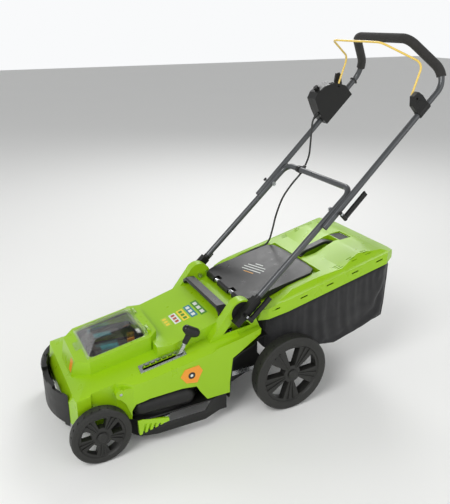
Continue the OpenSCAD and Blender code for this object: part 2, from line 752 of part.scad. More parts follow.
// Brackets that hold the cranked axles under the deck
crank_y = crank_r * cos(lever_half_swing);
crank_z = front_r - crank_r * sin(lever_half_swing);
rear_crank_z = rear_r - crank_r * sin(lever_half_swing);
bracket_x = nx - 52;
seat_gap = 0.1;
module axle_brackets() color(BLACK) placed() {
    both_sides() side_bracket(-crank_y, crank_z) polygon([
        [-crank_y - 10, crank_z], [-crank_y + 4, skirt_top + 12], [30, skirt_top + 12], [30, skirt_top + seat_gap],
        [12, skirt_top + seat_gap], [-crank_y + 11, crank_z]
    ]);
    both_sides() side_bracket(rear_y - crank_y, rear_crank_z) polygon([
        [chute_end_y + seat_gap, 118], [chute_end_y + seat_gap, 158], [rear_y - crank_y + 11, rear_crank_z],
        [rear_y - crank_y - 2, rear_crank_z - 11]
    ]);
    lever_bracket();
}

module side_bracket(y, z) difference() {
    side_slab(bracket_x - 7, bracket_x + 7) {
        translate([y, z]) circle(axle_d / 2 + 6);
        children();
    }
    translate([0, y, z]) x_rod(axle_d / 2 + run_fit, bracket_x - 8, bracket_x + 8);
}

// Post on the chamber that carries the height lever's pin
lever_pin_r = 6;
module lever_bracket() {
    side_slab(lever_x - 12, lever_x - 5) {
        translate([lever_y, lever_z]) circle(2 * lever_pin_r);
        translate([lever_y, lever_z - 9]) square([50, 18]);
        translate([lever_y + 30, chamber_top + seat_gap]) square([20, lever_z - chamber_top]);
    }
    translate([0, lever_y, lever_z]) x_rod(lever_pin_r, lever_x - 12, lever_x + 6);
}

// Small fasteners of the hood and the bumper
module deck_screws() color(STEEL) placed() {
    both_sides() translate([0, boss_front[1], boss_front[2]]) {
        x_rod(screw_head_r, nx + 13.2, nx + 16.4);
        x_rod(screw_r - 0.2, nx - 20, nx + 13.3);
    }
    for (a = [45:90:315]) translate([0, blade_y, 0]) rotate(a) translate([motor_d / 2 - 9, 0, skirt_top]) cylinder(r = screw_r - 0.3, h = motor_low_z + 4 - skirt_top);
}

disc_t = 7;
module pivot_discs() color(BLACK) placed() both_sides() translate([0, pivot_y, pivot_z]) difference() {
    union() {
        x_rod(disc_r, ear_outer_x - disc_t, ear_outer_x - 1.5, 96);
        x_rod(disc_r - 5, ear_outer_x - 2, ear_outer_x, 96);
    }
    x_rod(clamp_bolt_r + run_fit, ear_outer_x - disc_t - 2, ear_outer_x + 2);
}

// Plain coloured plates with no lettering
module badges() color(ORANGE) placed() {
    both_sides() side_slab(hx + 0.3, hx + 1.2) polygon([
        [column_y - 104, 190], [column_y - 90, 212], [column_y - 46, 216], [column_y - 34, 196],
        [column_y - 52, 160], [column_y - 86, 166]
    ]);
}

// ---------------------------------------------------------------- rear flap

flap_half = 138;
flap_l = 268;
hinge_y = rear_y - 112;
hinge_z = 344;
flap_pin_r = 4;
flap_pin_seat = 4;
module flap_pin() color(STEEL) placed() translate([0, hinge_y, hinge_z])
    x_rod(flap_pin_r, -ear_inner_x - flap_pin_seat + 1, ear_inner_x + flap_pin_seat - 1);

// Torsion springs round the hinge pin that press the flap shut
module flap_springs() color(STEEL) placed() both_sides() {
    turns = 7;
    pitch = 3;
    swept([for (k = [0:turns * 10]) [
        40 + pitch * k / 10, hinge_y + 6.4 * cos(36 * k), hinge_z + 6.4 * sin(36 * k)
    ]], 1, 6);
}

module flap_profile(i) polygon([
    [hinge_y - 10 + i, hinge_z - 8], [hinge_y - 10 + i, hinge_z + 2 - i], [hinge_y - 2, hinge_z + 9 - i],
    [hinge_y + 20, hinge_z + 13 - i], [hinge_y + flap_l - 20 - i, hinge_z + 59 - i],
    [hinge_y + flap_l - i, hinge_z + 56 - i], [hinge_y + flap_l - i, hinge_z + 47],
    [hinge_y + flap_l - 24, hinge_z + 45], [hinge_y + 16, hinge_z - 8]
]);

module flap_plan(i) {
    half = [
        [flap_half - 22 - i, hinge_y - 14 + i], [flap_half - 6 - i, hinge_y + 14], [flap_half - i, hinge_y + 40],
        [flap_half - i, hinge_y + flap_l - 34], [flap_half - 20 - i, hinge_y + flap_l - 10 - i],
        [62 - i, hinge_y + flap_l - i]
    ];
    polygon(concat(half, [for (k = [len(half) - 1:-1:0]) [-half[k][0], half[k][1]]]));
}

module rear_flap() color(BLACK) placed() difference() {
    union() {
        intersection() {
            side_slab(-flap_half, flap_half) flap_profile(0);
            plan_slab(280, 460) flap_plan(0);
        }
        translate([0, hinge_y, hinge_z]) x_rod(9, -flap_half + 24, flap_half - 24);
    }
    intersection() {
        side_slab(-flap_half, flap_half) polygon([
            [hinge_y + 12, hinge_z - 30], [hinge_y + 12, hinge_z + 6], [hinge_y + flap_l - 22, hinge_z + 54],
            [hinge_y + flap_l - 5, hinge_z + 51], [hinge_y + flap_l - 5, hinge_z]
        ]);
        plan_slab(280, 460) flap_plan(3);
    }
    // Bore for the pin, and windows for the springs
    translate([0, hinge_y, hinge_z]) x_rod(flap_pin_r + run_fit, -flap_half, flap_half);
    both_sides() translate([37, hinge_y - 16, hinge_z - 12]) cube([28, 27, 30]);
}

// ---------------------------------------------------------------- motor and blade

motor_low_z = chamber_top + part_gap;
motor_top_z = motor_low_z + 66;
module motor_housing() color(BLACK) placed() translate([0, blade_y, 0]) difference() {
    union() {
        translate([0, 0, motor_low_z]) cylinder(r = motor_d / 2, h = 54, $fn = 96);
        translate([0, 0, motor_low_z + 54]) cylinder(r1 = motor_d / 2 - 2, r2 = motor_d / 2 - 14, h = 12, $fn = 96);
        translate([0, 0, 78]) cylinder(r = shaft_d / 2 + 13, h = motor_low_z - 77);
    }
    translate([0, 0, motor_low_z + 5]) cylinder(r = motor_d / 2 - 4, h = 46, $fn = 96);
    translate([0, 0, 70]) cylinder(r = shaft_d / 2 + run_fit, h = 60);
    for (a = [45:90:315]) rotate(a) translate([motor_d / 2 - 9, 0, 70]) cylinder(r = screw_r, h = 34);
}

module motor_shaft() color(STEEL) placed() translate([0, blade_y, 0]) {
    translate([0, 0, 44]) cylinder(r = shaft_d / 2, h = motor_low_z + 49 - 44);
    translate([0, 0, motor_low_z + 8]) cylinder(r = motor_d / 2 - 8, h = 38, $fn = 96);
}

// Adaptor with fan vanes between the motor and the blade
blade_z = 56;
module blade_fan() color(BLACK) placed() translate([0, blade_y, 0]) difference() {
    union() {
        translate([0, 0, blade_z + blade_t + part_gap]) cylinder(r = 46, h = 5, $fn = 96);
        translate([0, 0, blade_z + blade_t + part_gap]) cylinder(r = 15, h = 15);
        for (a = [0:60:300]) rotate(a) translate([12, -1.5, blade_z + blade_t + 3]) cube([32, 3, 11]);
    }
    translate([0, 0, 40]) cylinder(r = shaft_d / 2, h = 60);
}

module blade() color(STEEL) placed() translate([0, blade_y, blade_z]) difference() {
    half = blade_l / 2;
    union() {
        intersection() {
            linear_extrude(blade_t) square([blade_l, blade_w], center = true);
            cylinder(r = half, h = 20, center = true, $fn = 96);
        }
        // Lifted rear corners
        for (a = [0, 180]) rotate(a) intersection() {
            translate([half - 70, -blade_w / 2, 0]) rotate([-24, 0, 0]) translate([0, -16, 0]) cube([70, 17, blade_t]);
            cylinder(r = half, h = 60, center = true, $fn = 96);
        }
    }
    translate([0, 0, -1]) cylinder(r = shaft_d / 2, h = 10);
    // Ground cutting edges
    for (a = [0, 180]) rotate(a) translate([half - 86, blade_w / 2, 0]) rotate([35, 0, 0]) translate([0, -4, -6]) cube([90, 12, 6]);
}

module blade_bolt() color(STEEL) placed() translate([0, blade_y, 0]) {
    translate([0, 0, 44 - 9]) cylinder(r = 11, h = 9 - part_gap, $fn = 6);
    translate([0, 0, 44 - part_gap]) difference() {
        cylinder(r = 19, h = blade_z - 44);
        translate([0, 0, part_gap]) cylinder(r = shaft_d / 2 + 0.1, h = 40);
    }
}

module motor_controller() color(BLACK) placed() translate([0, blade_y + 106, 118]) difference() {
    union() {
        linear_extrude(34) round_rect(150, 70, 8);
        for (k = [-5:5]) translate([k * 12 - 1.5, -30, 33]) cube([3, 60, 9]);
    }
    for (x = [-1, 1]) translate([x * 66, 0, -1]) cylinder(r = screw_r, h = 40);
}

// ---------------------------------------------------------------- height adjustment

hub_r = 22;
arm_r = 24;
rod_pin_r = 4;
front_hub_x = nx + wheel_gap;
front_out_x = front_hub_x + front_wheel_w - 1;
rear_hub_x = hx + 4.5;
rear_out_x = rear_hub_x + rear_wheel_w - 1;
rod_x = lever_x - 14;
arm_lean = lever_half_swing;
// Pins of the linkage, in side view, relative to each axle's crank
pin_dy = -arm_r * sin(arm_lean);
pin_dz = arm_r * cos(arm_lean);

// A cranked axle: cross tube, crank at each end and stub for each wheel
module cranked_axle(y, z, stub_in, stub_out) color(STEEL) placed() translate([0, y, z]) {
    crank_in = bracket_x + 8;
    crank_t = 8;
    x_rod(axle_d / 2, -crank_in - crank_t, crank_in + crank_t);
    both_sides() {
        side_slab(crank_in, crank_in + crank_t) crank_plate();
        translate([0, crank_y, crank_r * sin(arm_lean)]) x_rod(axle_d / 2, crank_in, stub_out);
    }
    // Arm that the linkage rod pushes, on the left
    side_slab(rod_x - 12, rod_x - 6) {
        circle(10);
        translate([pin_dy, pin_dz]) circle(8);
        arm_bar(pin_dy, pin_dz, 12);
    }
    translate([0, pin_dy, pin_dz]) x_rod(rod_pin_r, rod_x - 12, rod_x + 5);
}

module arm_bar(y, z, w) rotate(atan2(z, y)) translate([0, -w / 2]) square([norm([y, z]), w]);

module crank_plate() {
    circle(11);
    translate([crank_y, crank_r * sin(arm_lean)]) circle(11);
    arm_bar(crank_y, crank_r * sin(arm_lean), 18);
}

module front_axle() cranked_axle(-crank_y, crank_z, front_hub_x, front_out_x);
module rear_axle() cranked_axle(rear_y - crank_y, rear_crank_z, rear_hub_x, rear_out_x);

// Flat rod that makes both axles and the lever move together
rod_z = 118;
rod_front_y = -crank_y + pin_dy;
rod_rear_y = rear_y - crank_y + pin_dy;
rod_eye_r = 9;
lever_pin_y = lever_y + arm_r * sin(arm_lean) * -1;
lever_pin_z = lever_z - arm_r * cos(arm_lean);
module linkage_rod() color(STEEL) placed() difference() {
    side_slab(rod_x - 4, rod_x) {
        translate([rod_front_y - rod_eye_r, rod_z - 8]) square([rod_rear_y - rod_front_y + 2 * rod_eye_r, 16]);
        for (p = [[rod_front_y, crank_z + pin_dz], [rod_rear_y, rear_crank_z + pin_dz]]) {
            translate(p) circle(rod_eye_r);
            translate([p[0] - rod_eye_r, min(p[1], rod_z)]) square([2 * rod_eye_r, abs(p[1] - rod_z)]);
        }
        translate([lever_pin_y - 11, rod_z - 18]) square([22, 34]);
    }
    translate([0, rod_front_y, crank_z + pin_dz]) x_rod(rod_pin_r + run_fit, rod_x - 10, rod_x + 10);
    translate([0, rod_rear_y, rear_crank_z + pin_dz]) x_rod(rod_pin_r + 1.2, rod_x - 10, rod_x + 10);
    side_slab(rod_x - 10, rod_x + 10) for (z = [-9, 9]) translate([lever_pin_y, lever_pin_z + z]) circle(rod_pin_r + 1.2);
    side_slab(rod_x - 10, rod_x + 10) translate([lever_pin_y, lever_pin_z]) square([2 * rod_pin_r + 2.4, 18], center = true);
}

// Height lever: arm in the hood, and a shank through the notched plate
lever_len = 176;
lever_tilt = -lever_half_swing;
module height_lever() color(STEEL) placed() translate([0, lever_y, lever_z]) rotate([lever_tilt, 0, 0]) {
    difference() {
        side_slab(lever_x - 4, lever_x + 4) {
            circle(14);
            translate([-5, 0]) square([10, lever_len - 32]);
            arm_bar(0, -arm_r, 14);
            translate([0, -arm_r]) circle(8);
        }
        x_rod(lever_pin_r + run_fit, lever_x - 6, lever_x + 6);
    }
    translate([0, 0, -arm_r]) x_rod(rod_pin_r, rod_x - 5, lever_x - 3);
    translate([lever_x, 0, lever_len - 34]) cylinder(r = 5.5, h = 30);
}

module lever_knob() color(BLACK) placed() translate([lever_x, lever_y, lever_z]) rotate([lever_tilt, 0, 0]) {
    difference() {
        union() {
            translate([0, 0, lever_len - 28]) cylinder(r1 = 8.5, r2 = 9.5, h = 30);
            translate([0, 0, lever_len + 12]) hull() {
                translate([0, -16, 2]) sphere(r = 12.5, $fn = 32);
                translate([0, 16, 0]) sphere(r = 14, $fn = 32);
                translate([0, 0, -12]) sphere(r = 8, $fn = 32);
            }
        }
        translate([0, 0, lever_len - 40]) cylinder(r = 5.5 + run_fit, h = 36 + part_gap);
    }
}

// ---------------------------------------------------------------- wheels

// One moulded wheel about the X axis, outer face at +w, with five windows and twin ribs
module wheel(r, w, windows = 5) {
    rim_r = r * 0.78;
    hub = 17;
    tread = 3;
    difference() {
        rotate([90, 0, 90]) rotate_extrude($fn = 128) polygon([
            [axle_d / 2 + run_fit, 0], [hub, 0], [hub, w * 0.32], [rim_r - 7, w * 0.32], [rim_r - 4, 2], [r - 6, 0],
            [r - 1.5, 3], [r, w * 0.28], [r, w * 0.72], [r - 1.5, w - 3], [r - 6, w], [rim_r, w - 1], [rim_r - 3, w - 5],
            [rim_r - 6, w - 6], [hub + 10, w - 4], [hub + 4, w - 2], [axle_d / 2 + run_fit, w - 2]
        ]);
        for (k = [0:windows - 1]) rotate([360 * k / windows, 0, 0]) side_slab(-1, w + 1) window_2d(rim_r, hub);
        // Tread blocks
        for (k = [0:23]) rotate([15 * k, 0, 0]) for (s = [0, 1])
            translate([w * (0.2 + 0.38 * s), 0, r - tread + 1.4 ]) rotate([15 * s * 0.5, 0, 0]) rotate([0, 0, s == 0 ? 24 : -24])
                cube([w * 0.22, 5, 2 * tread]);
    }
    // Twin ribs on each spoke
    for (k = [0:windows - 1]) rotate([360 * (k + 0.5) / windows, 0, 0]) for (s = [-1, 1])
        side_slab(w * 0.3, w - 2.2) rotate(s * 6) translate([-1.6, hub + 3]) square([3.2, rim_r - hub - 8]);
}

module window_2d(rim_r, hub) {
    a = 17;
    polygon([
        for (t = [-a:a / 4:a]) (rim_r - 9) * [sin(t), cos(t)],
        for (t = [a * 1.1:-a / 2:-a * 1.1]) (hub + 12) * [sin(t), cos(t)]
    ]);
}

module hub_cap(w) {
    rotate([90, 0, 90]) translate([0, 0, w - 1.6]) rotate_extrude($fn = 64)
        polygon([[0, 0], [15, 0], [15.5, 2], [13, 4.5], [5, 6], [0, 6.2]]);
}

module on_wheel(side, y, z, x) placed() scale_side(side) translate([x, y, z]) children();
module scale_side(side) {
    if (side > 0) children();
    else mirror([1, 0, 0]) children();
}
module front_wheel_left() color(BLACK) on_wheel(1, 0, front_r, front_hub_x) wheel(front_r, front_wheel_w);
module front_wheel_right() color(BLACK) on_wheel(-1, 0, front_r, front_hub_x) wheel(front_r, front_wheel_w);
module rear_wheel_left() color(BLACK) on_wheel(1, rear_y, rear_r, rear_hub_x) wheel(rear_r, rear_wheel_w);
module rear_wheel_right() color(BLACK) on_wheel(-1, rear_y, rear_r, rear_hub_x) wheel(rear_r, rear_wheel_w);
module front_cap_left() color(FOAM) on_wheel(1, 0, front_r, front_hub_x) hub_cap(front_wheel_w + 1);
module front_cap_right() color(FOAM) on_wheel(-1, 0, front_r, front_hub_x) hub_cap(front_wheel_w + 1);
module rear_cap_left() color(FOAM) on_wheel(1, rear_y, rear_r, rear_hub_x) hub_cap(rear_wheel_w + 1);
module rear_cap_right() color(FOAM) on_wheel(-1, rear_y, rear_r, rear_hub_x) hub_cap(rear_wheel_w + 1);

// ---------------------------------------------------------------- lower frame

clamp_bolt_r = 4;
socket_in = ear_outer_x + part_gap;
crossbar_r = 34;
// Local frames along the legs: Y runs up the leg, Z square to it
module at_pivot() translate([0, pivot_y, pivot_z]) rotate([lower_lean, 0, 0]) children();
module at_fold() translate([0, fold_y, fold_z]) rotate([upper_lean, 0, 0]) children();

lower_start = 14;
function lower_point(x, s) = [x, pivot_y + s * lower_u[1], pivot_z + s * lower_u[2]];
module lower_frame() color(TUBE) placed() difference() {
    pipe(mirrored([lower_point(lower_x, lower_start), lower_point(lower_x, lower_leg)]),
        [0, crossbar_r, crossbar_r, 0], tube_r, tube_r - tube_wall);
    both_sides() translate([0, fold_y, fold_z]) x_rod(clamp_bolt_r + part_gap, lower_x - 20, lower_x + 20);
}

// Moulded sockets that grip the tubes and turn on the discs
socket_out = lower_x + tube_r + 3;
module tube_sockets() color(BLACK) placed() both_sides() at_pivot() difference() {
    union() {
        side_slab(socket_in, socket_out) {
            circle(tube_r + 6);
            translate([0, -tube_r - 3.4]) square([60, 2 * tube_r + 6.8]);
            translate([-40, -tube_r - 1]) square([42, 2 * tube_r + 2]);
        }
        translate([lower_x, ear_r + 2, 0]) rotate([-90, 0, 0]) cylinder(r = lower_x - socket_in, h = 28);
    }
    translate([lower_x, lower_start - part_gap, 0]) rotate([-90, 0, 0]) cylinder(r = tube_r + 0.05, h = 90);
    x_rod(clamp_bolt_r + 0.02, socket_in - 2, lower_x + 60);
}

bolt_end_x = socket_out + 12;
module lower_clamp_bolts() color(STEEL) placed() both_sides() translate([0, pivot_y, pivot_z]) difference() {
    union() {
        x_rod(clamp_bolt_r, ear_inner_x - 4, bolt_end_x);
        x_rod(8, ear_inner_x - 9, ear_inner_x - 3.6, 6);
    }
    rotate([lower_lean, 0, 0]) translate([bolt_end_x - 5, 0, -10]) cylinder(r = cam_pin_r + run_fit, h = 20);
}

cam_pin_r = 1.6;
// A quick-release cam lever on the end of a clamp bolt, its arm along local +Y
module cam_lever(x, arm) color(BLACK) {
    cam_body_r = 6.4;
    difference() {
        union() {
            translate([x, 0, -26]) cylinder(r = cam_body_r, h = 33);
            translate([x - 4, 0, -26]) cube([8, arm, 14]);
            translate([x, arm, -26]) cylinder(r = 4, h = 14);
        }
        translate([x, 0, -clamp_bolt_r - part_gap]) cylinder(r = 2 * cam_body_r, h = 2 * (clamp_bolt_r + part_gap));
    }
    translate([x, 0, -6]) cylinder(r = cam_pin_r, h = 12);
}
lower_cam_arm = 84;
module lower_cam_left() placed() at_pivot() cam_lever(bolt_end_x - 5, lower_cam_arm);
module lower_cam_right() placed() mirror([1, 0, 0]) at_pivot() cam_lever(bolt_end_x - 5, lower_cam_arm);

// ---------------------------------------------------------------- upper handle

function upper_point(x, s) = [x, fold_y + s * upper_u[1], fold_z + s * upper_u[2]];
upper_start = -62;
handle_path = mirrored([upper_point(upper_x, upper_start), loop_v, loop_end]);
bar_r = 44;
module upper_handle() color(TUBE) placed() difference() {
    pipe(handle_path, [0, loop_r, bar_r, bar_r, loop_r, 0], tube_r, tube_r - tube_wall);
    both_sides() translate([0, fold_y, fold_z]) x_rod(clamp_bolt_r + run_fit, upper_x - 20, upper_x + 20);
}

// Foam over the top loop, from the middle of each upper bend
module foam_grip() color(FOAM) placed()
    pipe(handle_path, [0, loop_r, bar_r, bar_r, loop_r, 0], grip_r, tube_r + 2 * weld, 0.55);

upper_bolt_end = upper_x + tube_r + 15;
module upper_clamp_bolts() color(STEEL) placed() both_sides() translate([0, fold_y, fold_z]) difference() {
    union() {
        x_rod(clamp_bolt_r, lower_x - tube_r - 4, upper_bolt_end);
        x_rod(8, lower_x - tube_r - 9, lower_x - tube_r - 3.6, 6);
    }
    rotate([upper_lean, 0, 0]) translate([upper_bolt_end - 5, 0, -10]) cylinder(r = cam_pin_r + run_fit, h = 20);
}

upper_cam_arm = 96;
module upper_cam_left() placed() at_fold() cam_lever(upper_bolt_end - 5, upper_cam_arm);
module upper_cam_right() placed() mirror([1, 0, 0]) at_fold() cam_lever(upper_bolt_end - 5, upper_cam_arm);

// Switch box on the right leg, in two shells, outlined along the leg
box_mid_x = -upper_x + 2;
box_half = 25;
module box_outline(i) polygon([
    [290 + i, -15 + i], [289 + i, 20], [296 + i, 47], [311 + i, 88 - i], [333, 96 - i], [364, 93 - i], [405 - i, 71 - i],
    [430 - i, 30], [430 - i, -15 + i]
]);

module box_shell() difference() {
    side_slab(box_mid_x - box_half, box_mid_x + box_half) box_outline(0);
    side_slab(box_mid_x - box_half + 2.5, box_mid_x + box_half - 2.5) difference() {
        box_outline(2.5);
        translate([360, 0]) square([200, 2 * tube_r + 6], center = true);
    }
    translate([-upper_x, 280, 0]) rotate([-90, 0, 0]) cylinder(r = tube_r + 0.03, h = 170);
    // Slot that the bail swings in, and the button's hole
    side_slab(box_mid_x + box_half - 14, box_mid_x + box_half - 2.3) polygon([[380, 30], [396, 120], [470, 120], [470, 26]]);
    translate([box_mid_x, 349, 60]) cylinder(r = button_r + run_fit, h = 60);
}

button_r = 9;
module switch_box() color(BLACK) placed() at_fold() {
    intersection() {
        box_shell();
        translate([box_mid_x - 100 - part_gap / 2, 200, -100]) cube([100, 300, 300]);
    }
}

// Inner shell, with the arm that carries the bail's end and the cable's strain relief
module switch_cover() color(BLACK) placed() at_fold() difference() {
    union() {
        intersection() {
            box_shell();
            translate([box_mid_x + part_gap / 2, 200, -100]) cube([100, 300, 300]);
        }
        side_slab(-bail_half - 17, -bail_half - 10) polygon([
            [398, 40], [418, 66], [437, 80], [448, 74], [448, 62], [430, 34], [424, 28], [398, 30]
        ]);
        translate([relief_x, 291, 34]) rotate([90, 0, 0]) cylinder(r1 = 7, r2 = cable_r + 1, h = relief_l);
    }
    translate([0, bail_s, bail_v]) x_rod(bail_d / 2 + run_fit, -260, -140);
}
relief_x = box_mid_x + 12;
relief_l = 22;

module lock_button() color(BLACK) placed() at_fold() translate([box_mid_x, 349, 78]) {
    cylinder(r = button_r, h = 27);
    translate([0, 0, -2]) cylinder(r = button_r + 3, h = 4);
}

// Bracket that carries the bail's other end on the left leg
module bail_bracket() color(BLACK) placed() at_fold() difference() {
    union() {
        translate([upper_x, 384, 0]) rotate([-90, 0, 0]) cylinder(r = tube_r + 4, h = 46);
        side_slab(bail_half + 10, upper_x + 8) polygon([[384, 4], [384, 40], [402, 62], [424, 60], [430, 40], [430, 4]]);
    }
    translate([upper_x, 380, 0]) rotate([-90, 0, 0]) cylinder(r = tube_r + 0.03, h = 60);
    translate([0, bail_s, bail_v]) x_rod(bail_d / 2 + run_fit, 140, 260);
}

// Bail wire: pivots on both legs and crosses in front of the grip
bail_s = 408;
bail_v = 48;
bail_pivot = upper_point(0, bail_s) + bail_v * [0, -upper_u[2], upper_u[1]];
bail_half = upper_x - 20;
module bail_lever() color(YELLOW) placed() {
    corner = [bail_half, bail_pivot[1] + 34, bail_pivot[2] + 98];
    bar = [118, bail_pivot[1] - 78, bail_pivot[2] + 157];
    pipe(mirrored([
        [bail_half + 16, bail_pivot[1], bail_pivot[2]], [bail_half, bail_pivot[1], bail_pivot[2]], corner, bar
    ]), [0, 9, 26, 30, 30, 26, 9, 0], bail_d / 2);
}

// ---------------------------------------------------------------- grass bag

bag_front_y = rear_y - 84;
bag_rear_y = bag_front_y + bag_l;
bag_hw = bag_w / 2;
function rim_z(y) = 300 + 0.235 * (y - bag_front_y);

module bag_plan(i, front) {
    half = [
        [bag_hw - 26 - i, front], [bag_hw - 8 - i, front + 26], [bag_hw - i, front + 90],
        [bag_hw - i, bag_rear_y - 52], [bag_hw - 22 - i, bag_rear_y - 14 - i], [bag_hw - 80 - i, bag_rear_y - i]
    ];
    polygon(concat(half, [for (k = [len(half) - 1:-1:0]) [-half[k][0], half[k][1]]]));
}

// Green lid: rim band all round, sloping shoulders, crowned top with a raised rear
rim_lean = atan(0.235);
rim_band_h = 36;
bag_lid_wall = 3;
module along_rim() translate([0, bag_front_y, rim_z(bag_front_y)]) rotate([rim_lean, 0, 0]) children();

module lid_shape(i) difference() {
    intersection() {
        side_slab(-bag_hw, bag_hw) polygon([
            [bag_front_y, rim_z(bag_front_y) - 4], [bag_front_y + 8, rim_z(bag_front_y) + 30 - i],
            [bag_front_y + 120, 374 - i], [bag_front_y + 215, 396 - i], [bag_front_y + 300, 412 - i],
            [bag_rear_y - 140, 442 - i], [bag_rear_y - 60, 450 - i], [bag_rear_y - 6 - i, 438 - i],
            [bag_rear_y, rim_z(bag_rear_y) - 4]
        ]);
        plan_slab(200, 500) bag_plan(i, bag_front_y);
        front_slab(bag_front_y - 10, bag_rear_y + 10) polygon([
            [-bag_hw + i, 200], [-bag_hw + i, 450], [-90, 455 - i], [90, 455 - i], [bag_hw - i, 450], [bag_hw - i, 200]
        ]);
    }
    both_sides() along_rim() front_slab(-60, bag_l + 90) shoulder_2d(i);
}

// What is cut off above the rim band and the sloping shoulder, in the rim's own frame
shoulder_in = 52;
shoulder_rise = 26;
module shoulder_2d(i) polygon([
    [bag_hw + 5, rim_band_h - 2 - i], [bag_hw - 12 - i / 2, rim_band_h - i],
    [bag_hw - 12 - shoulder_in - i / 2, rim_band_h + shoulder_rise - i],
    [bag_hw - 12 - 2 * shoulder_in, rim_band_h + 60], [bag_hw + 5, 150]
]);

module bag_lid() color(GREEN) placed() difference() {
    lid_shape(0);
    difference() {
        translate([0, 0, -bag_lid_wall]) lid_shape(bag_lid_wall);
        handle_well(bag_lid_wall);
        cable_groove(bag_lid_wall);
        bag_cut(bag_lid_wall);
    }
    // Space under the rear flap, the handle's well, and the way of the cable
    bag_cut(0);
    handle_well(0);
    cable_groove(0);
    // Vents: three groups of three slots in each shoulder
    both_sides() along_rim() for (g = [0:2], k = [0:2])
        translate([bag_hw - 30 - k * 9, 306 + g * 56 - k * 4, 0]) cube([3.2, 20, 80]);
    // Slots in the rim band
    both_sides() along_rim() for (k = [0:4]) translate([bag_hw - 8, 44 + k * 98, 17]) cube([12, 26, 5]);
    // Level window
    translate([0, bag_rear_y - 96, 430]) cube([66, 46, 60], center = true);
}

// Well under the lifting handle
well_front_y = bag_front_y + 256;
module handle_well(grow) side_slab(-27 - grow, 27 + grow) polygon([
    [well_front_y + 5 - grow, 500], [well_front_y + 5 - grow, 380 - grow], [well_front_y + 90, 384 - grow],
    [well_front_y + 138 + grow, 424 - grow], [well_front_y + 138 + grow, 500]
]);

// Groove in which the cable lies beside the flap
module cable_groove(grow) side_slab(-164 - grow, -142 + grow) polygon([
    [bag_front_y - 20, 316 - grow], [bag_front_y + 12, 329 - grow], [bag_front_y + 50, 342 - grow],
    [bag_front_y + 110, 362 - grow], [bag_front_y + 168, 380 - grow], [bag_front_y + 210, 384 - grow],
    [bag_front_y + 238 + grow, 408], [bag_front_y + 238 + grow, 500], [bag_front_y - 20, 500]
]);

// The flap's own space above the lid's front
module bag_cut(grow) side_slab(-flap_half - 3 - grow, flap_half + 3 + grow) polygon([
    [bag_front_y - 20, hinge_z - 30 - grow], [hinge_y + 30, hinge_z - 14 - grow],
    [hinge_y + flap_l - 20, hinge_z + 40 - grow], [hinge_y + flap_l + 3 + grow, hinge_z + 43 - grow],
    [hinge_y + flap_l + 3 + grow, 480], [bag_front_y - 20, 480]
]);

fabric_front_y = bag_front_y + 24;
module bag_fabric() color("#2b2b2d") placed() difference() {
    fabric_body(0);
    fabric_body(2);
    // Mouth towards the chute
    translate([0, fabric_front_y, 244]) cube([2 * chute_half - 20, 30, 90], center = true);
}

module fabric_body(i) intersection() {
    side_slab(-bag_hw + 6 + i, bag_hw - 6 - i) polygon([
        [fabric_front_y + i, rim_z(fabric_front_y) - 6 - i], [bag_rear_y - 10 - i, rim_z(bag_rear_y) - 8 - i],
        [bag_rear_y - 44 - i, rim_z(bag_rear_y) - bag_depth + i], [fabric_front_y + 250, rear_r + 32 + i],
        [fabric_front_y + 210, rear_r + 38 + i], [fabric_front_y + i, 192 + i]
    ]);
    plan_slab(100, 460) bag_plan(6 + i, fabric_front_y + i);
}

// Lifting handle: an arch along the middle, over the well, with both feet on the lid
module bag_handle() color(BLACK) placed() difference() {
    union() {
        side_slab(-13, 13) polygon([for (p = [
            [-10, 380], [-10, 408], [10, 420], [86, 440], [104, 440], [160, 424], [160, 418], [136, 418], [100, 430],
            [88, 430], [20, 412], [4, 402], [4, 380]
        ]) [well_front_y + p[0], p[1]]]);
        translate([0, well_front_y - 4, 0]) plan_slab(380, 408) square([40, 12], center = true);
    }
    translate([0, 0, part_gap]) lid_top_space();
}

// The lid's solid outside as the handle's feet meet it
module lid_top_space() difference() {
    lid_shape(0);
    bag_cut(0);
    handle_well(0);
}

module level_flap() color(BLACK) placed() translate([0, bag_rear_y - 96, 0]) {
    translate([0, 0, 442]) cube([62, 42, 3], center = true);
    translate([0, -21, 442]) x_rod(2, -31, 31);
}

// ---------------------------------------------------------------- cable

cable_r = 3.2;
// The route's points count from the fold's axis and, under the flap's edge, from the flap's hinge
cable_upper_route = [
    [-187.4, 168.6, 210.7], [-185, 162, 194], [-176, 154, 163], [-160, 141, 128], [-136, 122, 100], [-116, 101, 82], [-107, 88, 70]
];
cable_lower_route = [
    [-105, 76, 50], [-107, 62, 34], [-112, 38, 6], [-119, 8, -40], [-127, -11, -100], [-138, -18, -157],
    [-148, -25, -200], [-152, -44, -220], [-153, -80, -226], [-153, -138, -244], [-154, -198, -264], [-155, -236, -277],
    [-155, -256, -286]
];
function from_fold(q) = [for (p = q) [p[0], p[1] + fold_y, p[2] + fold_z]];
module cable_upper() color(BLACK) placed() swept(spline(from_fold(cable_upper_route), 4), cable_r);
module cable_lower() color(BLACK) placed() swept(spline(from_fold(cable_lower_route), 4), cable_r);

// Clip on the crossbar that holds the cable between its two stretches
clip_x = -106;
clip_back = 2.8;
module cable_clip() color(BLACK) placed() {
    a = from_fold([cable_lower_route[0]])[0];
    b = from_fold([cable_upper_route[6]])[0];
    bar = lower_point(clip_x, lower_leg);
    d = unit(b - a);
    difference() {
        union() {
            ring_run(a + d, b - d, cable_r + 2.4, 0);
            translate(bar) x_rod(tube_r + 3, -7, 7);
            translate([clip_x - 3, bar[1], bar[2] - 2]) cube([6, 16, 12]);
        }
        translate(bar) x_rod(tube_r + 0.1, -20, 20);
        // The cable's two ends stay clear of the clip's foot
        ring_run(a - 12 * d, a + d * clip_back, cable_r + 2.6, 0);
        ring_run(b - d * clip_back, b + 12 * d, cable_r + 2.6, 0);
    }
}

